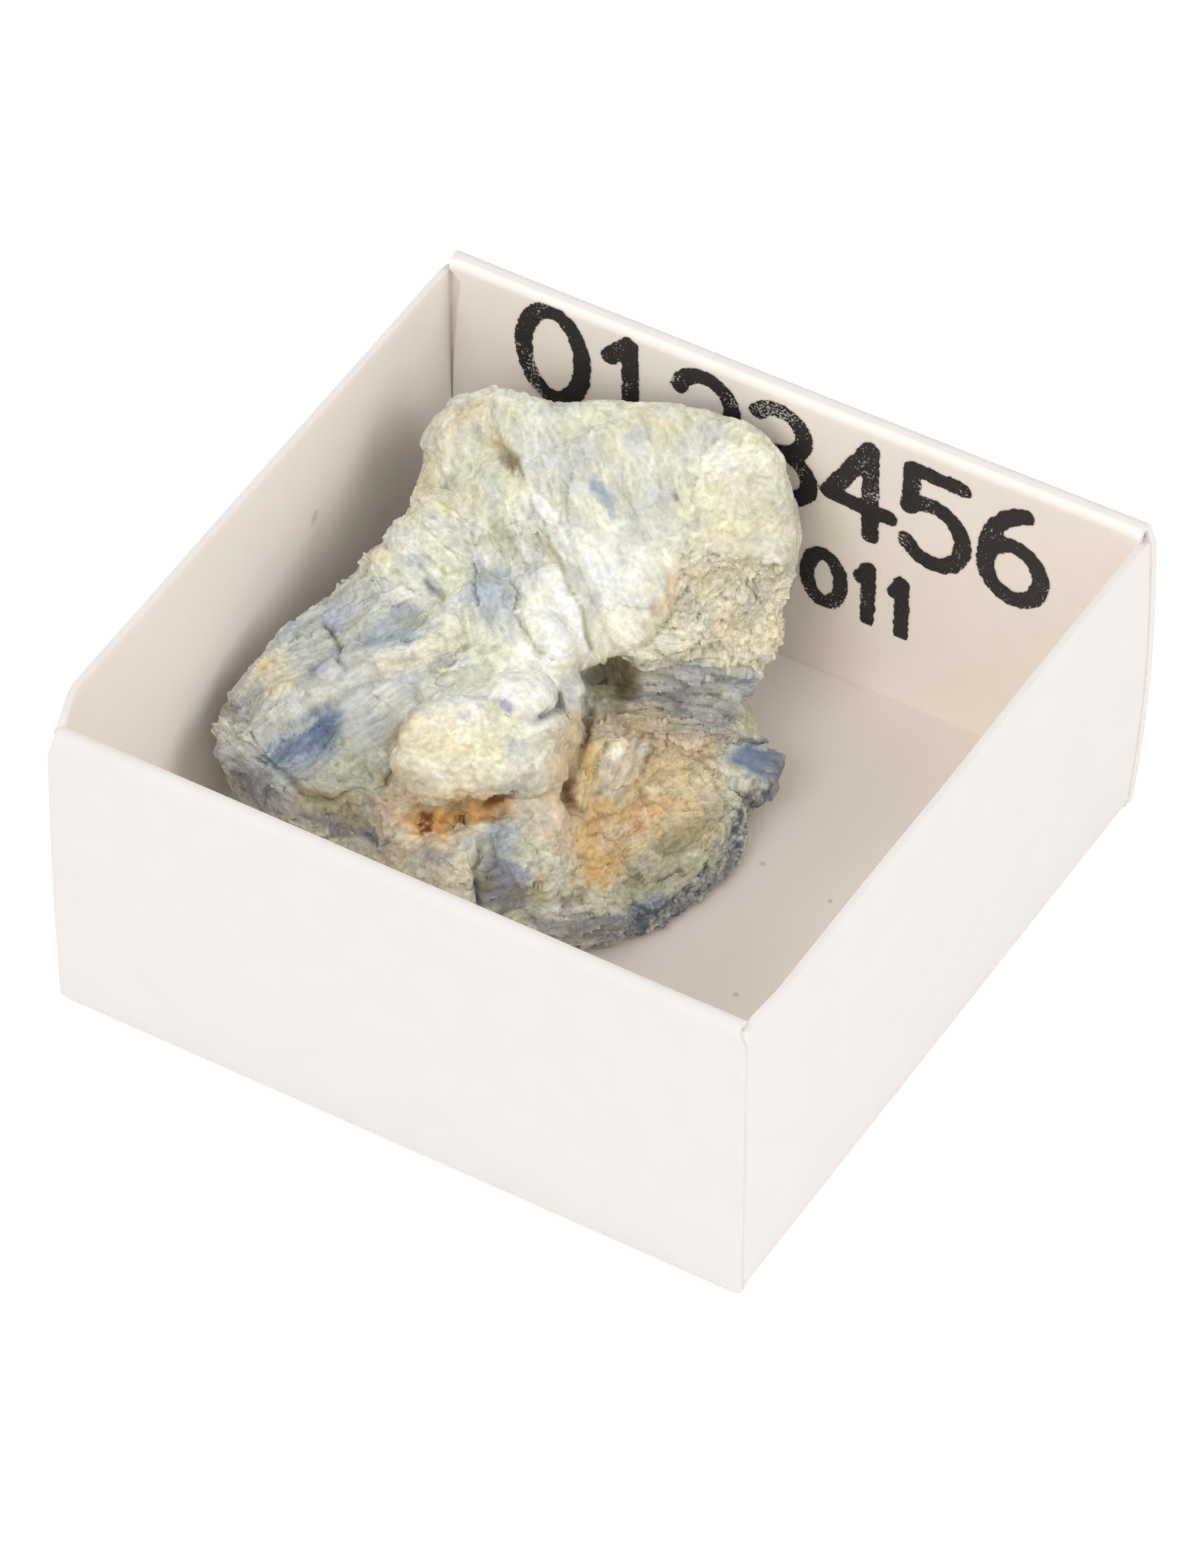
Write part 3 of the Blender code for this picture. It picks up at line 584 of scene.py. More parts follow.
# The stone: masses that have grown together. Each has a centre, half sizes, corner rounding and a turn:
# spun about its own thickness, tipped about X, then headed about Z, in degrees.
stone = {
    "heart": (-7.2, 6.0, 6.2),
    "masses": [
        ((-6.0, 14.3, 14.0), (7.8, 4.3, 4.0), 1.4, (-2, 40, 28)),  # heel of the slab
        ((-5.7, 10.9, 12.3), (3.4, 6.3, 3.4), 0.6, (24, 46, 31)),  # its tongue
        ((-2.2, 12.9, 10.3), (3.9, 5.0, 4.0), 1.8, (30, 58, 52)),  # right flank
        ((-13.2, 12.4, 12.7), (3.3, 4.0, 4.2), 2.2, (12, 40, 20)),  # left knob
        ((-11.4, 7.2, 9.4), (4.6, 5.0, 5.2), 2.2, (35, 40, 28)),  # saddle
        ((-9.4, 2.6, 9.4), (4.4, 3.6, 4.2), 1.8, (38, 44, 31)),  # bridge
        ((-6.2, 5.3, 11.7), (1.9, 2.8, 1.9), 0.6, (20, 46, 31)),  # white lobe
        ((-5.4, 2.5, 11.3), (2.0, 2.3, 1.9), 0.7, (30, 48, 24)),  # white knob
        ((-12.8, -1.8, 6.9), (5.3, 6.4, 4.6), 2.0, (-25, 16, -6)),  # left lobe
        ((-13.1, -3.4, 10.9), (6.4, 1.5, 1.0), 0.3, (38, 34, 12)),  # left ledge
        ((-5.8, -2.3, 10.2), (3.9, 2.9, 3.5), 1.5, (14, 46, 26)),  # cream lump
        ((-1.2, 2.8, 3.0), (5.4, 7.4, 2.6), 2.2, (8, 30, 62)),  # right lobe
        ((2.4, 8.0, 3.4), (2.2, 1.2, 0.9), 0.3, (-16, 14, 44)),  # blue tip
        ((-4.8, 9.6, 5.8), (5.8, 5.8, 5.4), 3.0, (0, 0, 20)),  # back
        ((-7.4, -3.2, 4.2), (6.2, 4.8, 4.4), 2.2, (0, 0, -12)),  # foot
        ((-2.9, -4.4, 4.0), (2.5, 2.5, 3.4), 0.4, (20, 12, 10)),  # slate block
        ((-1.9, 2.0, 7.5), (2.2, 3.0, 1.6), 0.9, (-10, 52, 45)),  # shoulder beside the cream lump
        ((0.7, -3.5, 2.8), (2.5, 2.2, 1.5), 0.8, (0, 15, 35)),  # toe
    ],
    "blend": 0.9,
    "hollows": [
        ((-0.6, 6.4, 9.0), (5.2, 1.8, 2.6), 0.9, (0, 46, 42)),  # cave under the slab
        ((-4.6, -7.1, 8.8), (2.4, 1.2, 1.2), 0.5, (-14, 46, 31)),  # rust hollow
        ((3.5, 1.1, 6.4), (3.4, 4.0, 1.5), 1.3, (8, 33, 62)),  # dish in the right lobe
        ((-4.6, -6.4, 6.6), (0.5, 1.6, 1.2), 0.2, (0, 60, 20)),  # gap beside the slate
    ],
    "hollowBlend": 0.5,
    "bottom": 1.3, "backLimit": 18.4, "leftLimit": -19.2, "gridSteps": 90,
    "voxel": 0.129, "triangles": 194000,
}


def turned(spin, tip, heading):
    def aboutZ(angle):
        c, s = math.cos(math.radians(angle)), math.sin(math.radians(angle))
        return np.array([[c, -s, 0], [s, c, 0], [0, 0, 1]])
    c, s = math.cos(math.radians(tip)), math.sin(math.radians(tip))
    return aboutZ(heading) @ np.array([[1, 0, 0], [0, c, -s], [0, s, c]]) @ aboutZ(spin)


def blockDistance(points, centre, half, rounding, turn):
    # Distance to a turned box with rounded corners, negative inside.
    local = np.abs((points - centre) @ turned(*turn)) - (np.array(half) - rounding)
    return np.linalg.norm(np.maximum(local, 0), axis=-1) + np.minimum(local.max(axis=-1), 0) - rounding


def blended(a, b, width):
    # The smaller of two distances, with a fillet this wide where they meet.
    share = np.clip(0.5 + 0.5 * (b - a) / width, 0, 1)
    return b + (a - b) * share - width * share * (1 - share)


def stoneDistance(points):
    distance = 99.0
    for mass in stone["masses"]:
        distance = blended(distance, blockDistance(points, *mass), stone["blend"])
    for hollow in stone["hollows"]:
        distance = -blended(-distance, blockDistance(points, *hollow), stone["hollowBlend"])
    return distance


def keptInTray(points):
    # Flat faces towards the floor, the back wall and the left wall.
    x, y, z = points.T
    x, y = np.maximum(x, stone["leftLimit"]), np.minimum(y, stone["backLimit"])
    return np.stack([x, y, np.maximum(z, stone["bottom"])], axis=1)


# The stone's outline on the show face, in millimetres from the middle of the view, clockwise from the top.
# The front wall hides what lies between its last point and its first.
outline = {"middle": (-2.1, 4.4), "bins": 240, "power": 3.0, "hiddenAngle": 240, "points": [
    (1.0, -9.4), (2.6, -8.7), (3.9, -8.0), (5.6, -6.6), (6.7, -5.2), (7.5, -3.6), (8.1, -1.9), (8.7, -0.7),
    (9.2, 0.1), (9.7, 1.1), (9.2, 1.5), (8.3, 1.8), (8.1, 2.5), (7.6, 4.2), (8.3, 4.4), (8.4, 5.7),
    (9.4, 6.4), (9.5, 7.8), (9.3, 8.7), (9.7, 9.9), (10.2, 12.1), (10.1, 14.1), (9.7, 15.5), (9.2, 16.6),
    (8.7, 17.2), (7.9, 18.0), (5.6, 18.9), (1.8, 19.2), (-2.3, 19.2), (-3.7, 19.3), (-4.6, 19.7),
    (-5.2, 19.9), (-6.2, 19.8), (-7.4, 19.0), (-8.7, 17.2), (-9.3, 15.7), (-9.5, 13.6), (-10.3, 13.0),
    (-11.0, 11.8), (-12.0, 11.1), (-12.1, 10.6), (-13.9, 9.3), (-15.9, 7.9), (-17.4, 6.4), (-18.3, 4.8),
    (-19.3, 3.9), (-19.9, 2.4), (-19.7, 1.6), (-19.4, 0.3), (-18.9, -0.7)]}


def fitOutline(points):
    # Moves points across the show face, most at the silhouette, until the silhouette is the outline.
    across, up = onShowFace(points)
    du, dv = across - outline["middle"][0], up - outline["middle"][1]
    angle, radius = np.degrees(np.arctan2(dv, du)) % 360, np.hypot(du, dv)
    bins = outline["bins"]
    edges = np.zeros(bins)
    np.maximum.at(edges, (angle * bins / 360).astype(int) % bins, radius)
    centres = (np.arange(bins) + 0.5) * 360 / bins
    wanted = np.array(outline["points"]) - outline["middle"]
    wantedAngle = np.degrees(np.arctan2(wanted[:, 1], wanted[:, 0])) % 360
    order = np.argsort(wantedAngle)
    wantedRadius = np.hypot(*wanted.T)[order]
    ratio = np.interp(centres, wantedAngle[order], wantedRadius, period=360) / edges
    first, last = wantedAngle[-1], wantedAngle[0]
    hidden = (centres > first) & (centres < last)
    ends = np.interp([first, last], centres, ratio)
    stops = (first, outline["hiddenAngle"], last)
    ratio[hidden] = np.interp(centres[hidden], stops, (ends[0], 1.0, ends[1]))
    stretch = np.interp(angle, centres, ratio, period=360)
    share = (radius / np.interp(angle, centres, edges, period=360)) ** outline["power"]
    move = (stretch - 1) * np.clip(share, 0, 1)
    return keptInTray(points + faceRight * (du * move)[:, None] + faceUp * (dv * move)[:, None])


def cubeDirections(steps):
    # Directions through a grid on the six faces of a cube, and the grid's quads.
    row = np.tan(np.linspace(-math.pi / 4, math.pi / 4, steps + 1))
    across, up = np.meshgrid(row, row, indexing="ij")
    index = np.arange((steps + 1) ** 2).reshape(steps + 1, steps + 1)
    one = np.stack([index[:-1, :-1], index[1:, :-1], index[1:, 1:], index[:-1, 1:]], axis=-1).reshape(-1, 4)
    faces, quads = [], []
    for axis in range(3):
        for side in (1, -1):
            corner = np.stack([np.full_like(across, side), across * side, up], axis=-1)
            faces.append(np.roll(corner, axis, axis=-1).reshape(-1, 3))
            quads.append(one + len(quads) * index.size)
    directions = np.concatenate(faces)
    return directions / np.linalg.norm(directions, axis=1, keepdims=True), np.concatenate(quads)


def massMesh():
    # Each grid direction is followed inwards from outside until it meets the masses.
    directions, quads = cubeDirections(stone["gridSteps"])
    heart = np.array(stone["heart"])
    reach = np.full(len(directions), 24.0)
    for _ in range(36):
        reach -= 0.85 * stoneDistance(heart + directions * reach[:, None])
    points = fitOutline(heart + directions * reach[:, None])
    item = addObject("kyanite_lump", quadMesh("kyanite_lump", points, quads))
    weld = item.modifiers.new("weld", "WELD")
    weld.merge_threshold = 0.00001
    even = item.modifiers.new("even faces", "REMESH")
    even.mode = "VOXEL"
    even.voxel_size = stone["voxel"] * mm
    bakeModifiers(item)
    # Sides that look away from the show face get by with larger faces.
    away = item.vertex_groups.new(name="away")
    shown = showShare(pointsOf(item.data), normalsOf(item.data))
    for level in range(1, 5):
        away.add(np.flatnonzero(np.round((1 - shown) * 4) == level).tolist(), level / 4, "REPLACE")
    fewer = item.modifiers.new("fewer faces", "DECIMATE")
    fewer.ratio = stone["triangles"] / (2 * len(item.data.polygons))
    fewer.vertex_group = "away"
    fewer.vertex_group_factor = 10.0
    bakeModifiers(item)
    item.vertex_groups.clear()
    return item


def spot(u, v, centre, half, angle, soft):
    # 1 inside an ellipse on the show face, easing to 0 over a share of its size.
    turn = math.radians(angle)
    along = (u - centre[0]) * math.cos(turn) + (v - centre[1]) * math.sin(turn)
    across = (v - centre[1]) * math.cos(turn) - (u - centre[0]) * math.sin(turn)
    return 1 - smoothStep(np.hypot(along / half[0], across / half[1]), 1 - soft, 1 + soft)


# Forms on the show face: middle, half sizes, angle, height and softness. Cracks: path, width and depth.
forms = {
    "raised": [
        ((-2.7, 8.3), (3.0, 1.75), -66, 0.5, 0.12),  # white lobe
        ((-2.8, 13.5), (1.2, 0.5), -58, 0.45, 0.15),  # bright flake
        ((-2.2, 11.3), (1.0, 0.4), -58, 0.45, 0.5),
        ((-6.4, 15.6), (3.2, 1.1), -52, 0.5, 0.5),  # ridge beside the stained pit
        ((6.8, 14.2), (2.6, 2.0), 20, 0.5, 0.4),  # cream lump at the upper right
        ((5.2, 11.4), (2.4, 1.2), 40, 0.4, 0.5),
        ((1.4, 9.6), (3.6, 2.4), -80, 0.5, 0.4),  # tongue
        ((-14.4, 4.1), (6.0, 0.9), 29, 0.55, 0.25),  # ledge
        ((-9.3, 7.0), (3.0, 0.8), 24, 0.35, 0.3),
        ((-6.6, 1.6), (3.6, 2.2), 12, 0.9, 0.35),  # cream lump
        ((-3.9, 5.0), (2.0, 1.6), -40, 0.4, 0.4),  # white knob
        ((-1.9, 2.7), (1.4, 1.0), 40, 0.5, 0.4),
        ((0.6, 0.1), (1.6, 1.1), 70, 0.6, 0.25),  # pale block on the right lobe
        ((2.9, -1.6), (1.6, 0.9), -30, 0.35, 0.4),
        ((-9.9, -3.3), (2.2, 0.9), -20, 0.4, 0.4),  # lip under the rust
        ((-16.4, 4.9), (1.6, 1.2), 20, 0.3, 0.5),  # cream patch on the left
    ],
    "sunk": [
        ((-4.9, 15.9), (1.2, 0.5), -62, 0.55, 0.4),  # stained pit
        ((0.9, 4.7), (1.3, 1.0), 30, 1.4, 0.5),  # cave
        ((5.6, 8.7), (2.6, 2.4), 10, 0.45, 0.5),  # granular flank
        ((-10.5, 7.3), (1.8, 1.0), 18, 0.4, 0.35),  # blue-grey fan
        ((-15.1, 1.6), (1.8, 1.1), 35, 0.4, 0.35),  # deep blue hollow
        ((-7.3, -2.1), (2.6, 0.7), 6, 0.6, 0.4),  # rust hollow
        ((-1.7, -0.9), (0.4, 0.5), 0, 0.9, 0.6),  # dark hole
        ((-6.0, -4.6), (1.4, 0.7), 20, 0.5, 0.5),
    ],
    "cracks": [
        ([(-1.9, 10.3), (-1.5, 9.5), (-0.8, 8.0), (-0.4, 6.3)], 0.14, 0.5),  # beside the slab
        ([(-4.5, 10.2), (-4.4, 8.5), (-3.6, 6.5), (-2.4, 6.0)], 0.14, 0.45),  # round the white lobe
        ([(-13.9, 8.0), (-13.5, 6.3), (-13.0, 5.3)], 0.10, 0.35),  # violet vein
        # Beside the cream.
        ([(-9.4, 4.2), (-9.9, 3.0), (-11.0, 1.6), (-10.7, 0.4), (-11.1, -0.5)], 0.2, 0.35),
        ([(-9.0, 9.8), (-8.3, 9.2)], 0.16, 0.5),  # dark slits
        ([(-6.3, 11.0), (-6.1, 9.0)], 0.10, 0.35),
        ([(-3.2, 3.0), (-2.0, 3.8)], 0.18, 0.7),
        # In the right lobe.
        ([(-0.6, 3.6), (-0.9, 2.2), (-1.3, 0.6), (-1.9, -1.0), (-1.4, -2.6)], 0.16, 0.5),
        ([(-6.3, -3.9), (-6.3, -7.0)], 0.2, 0.7),  # gap beside the slate
        ([(-8.0, 5.5), (-7.0, 6.6)], 0.14, 0.4),
        ([(4.9, 9.9), (4.3, 9.1), (3.2, 7.5), (2.3, 6.9)], 0.2, 0.5),  # right of the tongue
        ([(4.4, 15.4), (5.0, 13.2), (4.8, 11.4)], 0.16, 0.25),
        ([(2.4, 0.9), (1.8, -0.6), (2.6, -2.2)], 0.14, 0.35),
        ([(-17.6, 1.0), (-15.0, -0.9), (-12.0, -1.4)], 0.16, 0.4),
    ],
}


def showShare(points, normals):
    # 1 on surfaces that look towards the show face, 0 on those that look away.
    return smoothStep(normals @ faceOut, -0.35, 0.05)


def formRelief(u, v):
    relief = np.zeros(u.shape)
    for centre, half, angle, height, soft in forms["raised"]:
        relief += height * spot(u, v, centre, half, angle, soft)
    for centre, half, angle, depth, soft in forms["sunk"]:
        relief -= depth * spot(u, v, centre, half, angle, soft)
    for path, width, depth in forms["cracks"]:
        relief -= depth * np.exp(-(nearPath(u, v, path) / width) ** 2)
    return relief


def frayed(points):
    # Show face coordinates with wandering borders, so that no form or patch has a drawn edge.
    u, v = onShowFace(points)
    u = u + 0.5 * unevenness(points, 1.9, 81) + 0.16 * unevenness(points, 0.6, 82)
    v = v + 0.5 * unevenness(points, 1.9, 83) + 0.16 * unevenness(points, 0.6, 84)
    return u, v


# Domains in which the crystals lie side by side. On the show face: middle, angle, length, width, roughness.
domains = [
    ((2.0, 15.0), -72, 3.6, 1.2, 0.5), ((7.5, 14.0), 35, 1.5, 1.1, 0.5), ((1.2, 9.6), -66, 3.0, 1.3, 0.4),
    ((6.6, 8.6), 50, 0.8, 0.6, 1.2), ((-2.7, 8.0), -62, 3.4, 1.9, 0.25), ((-6.6, 15.4), -78, 2.6, 1.0, 0.6),
    ((-8.5, 11.4), -35, 1.8, 0.9, 0.7), ((-5.3, 9.3), -75, 2.2, 0.8, 0.6), ((-13.5, 8.0), 35, 1.6, 0.6, 0.9),
    ((-10.5, 7.0), 22, 2.0, 0.6, 0.7), ((-12.5, 3.8), 30, 3.0, 0.8, 0.45), ((-15.0, 1.3), 38, 1.6, 0.5, 0.7),
    ((-14.6, -1.4), -25, 1.6, 0.7, 0.9), ((-18.2, -0.4), -44, 2.4, 0.45, 0.9),
    ((-8.2, 0.8), 10, 1.2, 0.9, 0.5), ((-3.9, 1.5), 0, 1.6, 1.2, 0.5),
    ((-3.9, 5.0), -40, 1.8, 1.3, 0.35), ((3.5, 4.8), -4, 2.4, 0.4, 1),
    ((5.2, 2.7), -12, 2.4, 0.4, 1), ((0.5, 0.2), 76, 2.0, 0.9, 0.8), ((3.8, -0.8), 12, 1.4, 0.6, 1),
    ((2.6, -4.6), 32, 1.4, 0.6, 1), ((8.6, 1.2), -12, 3.0, 1.0, 0.4),
    ((8.4, -1.2), 66, 2.6, 0.3, 1), ((6.9, -4.4), 57, 2.6, 0.3, 1),
    ((4.6, -7.2), 36, 2.6, 0.3, 1), ((1.4, -8.2), 12, 2.6, 0.3, 1), ((-5.0, -5.6), 20, 1.4, 0.6, 0.8),
    ((-8.0, -2.6), 8, 1.4, 0.7, 0.8), ((-8.0, -4.8), 12, 1.6, 0.7, 0.8),
]


def inDomains(points, shown, u, v):
    # Each point's place in its domain's own directions, in lengths and widths of its crystals.
    away = np.array([np.hypot(u - middle[0], v - middle[1]) for middle, *_ in domains])
    nearest = np.argmin(away, axis=0)
    first, second = np.partition(away, 1, axis=0)[:2]
    place = np.zeros_like(points)
    rough = np.full(u.shape, 0.9)
    for index, (_, angle, length, width, roughness) in enumerate(domains):
        c, s = math.cos(math.radians(angle)), math.sin(math.radians(angle))
        along, across = faceRight * c + faceUp * s, faceUp * c - faceRight * s
        own = (nearest == index) & (shown > 0.5)
        lying = [points @ along / length, points @ across / width, points @ faceOut / width]
        place[own] = np.stack(lying, axis=1)[own] + 50 * index
        rough[own] = roughness
    # Away from the show face, domains of random direction about 5 mm wide.
    drift = np.stack([layered(points, 3.0, 401 + i) for i in range(3)], axis=1)
    cell = np.floor(points / 5.0 + 0.35 * drift)
    spin = scattered(cell.astype(np.int64), 411) * math.pi
    tip = scattered(cell.astype(np.int64), 412)
    along = np.stack([np.cos(spin), np.sin(spin), tip], axis=1)
    along /= np.linalg.norm(along, axis=1, keepdims=True)
    across = np.cross(along, (0.0, 0.0, 1.0))
    across /= np.linalg.norm(across, axis=1, keepdims=True)
    third = np.cross(along, across)
    parts = [(points * way).sum(axis=1) / size for way, size in ((along, 2.4), (across, 0.8), (third, 0.8))]
    rest = np.stack(parts, axis=1) + 3000
    whole = np.where(shown > 0.5, smoothStep(second - first, 0.1, 0.5), 1)
    whole *= smoothStep(abs(shown - 0.5), 0, 0.2)
    return np.where((shown > 0.5)[:, None], place, rest), rough, whole * rough


def stoneRelief(points, place, rough):
    # Broad unevenness, then crystals cut off at slants, in three sizes.
    relief = 0.22 * unevenness(points, 4.2, 3) + 0.14 * unevenness(points, 1.7, 7)
    slants = 0.30 * facets(place * (0.7, 0.6, 0.6), 500) + 0.16 * facets(place * 1.4, 520)
    return relief + (slants + 0.07 * facets(place * 3.0, 540)) * rough


# Colours of the stone, as seen in white light, from 0 to 255.
palette = {
    "snow": (252, 251, 243), "chalk": (244, 243, 231), "ivory": (242, 235, 212), "cream": (240, 232, 205),
    "butter": (230, 222, 190), "mint": (224, 224, 207), "lichen": (219, 216, 190), "sage": (188, 190, 166),
    "sea": (182, 194, 180), "straw": (234, 226, 200), "khaki": (206, 199, 166), "olive": (166, 160, 122),
    "moss": (176, 166, 134), "pitch": (150, 142, 116), "fog": (196, 199, 195), "pearl": (209, 211, 206),
    "mist": (174, 183, 190), "dove": (168, 171, 168), "steel": (156, 168, 182), "denim": (124, 142, 168),
    "navy": (100, 116, 145), "violet": (176, 177, 200), "ash": (168, 169, 170), "slate": (138, 139, 146),
    "stone": (198, 197, 190), "beige": (216, 204, 183), "taupe": (156, 146, 128), "sand": (226, 204, 164),
    "tan": (222, 204, 172), "peach": (228, 209, 180), "gold": (212, 188, 128), "ochre": (212, 174, 116),
    "orange": (229, 185, 110), "rust": (230, 168, 106), "burnt": (118, 64, 30), "umber": (122, 90, 54),
    "storm": (88, 95, 110),
}

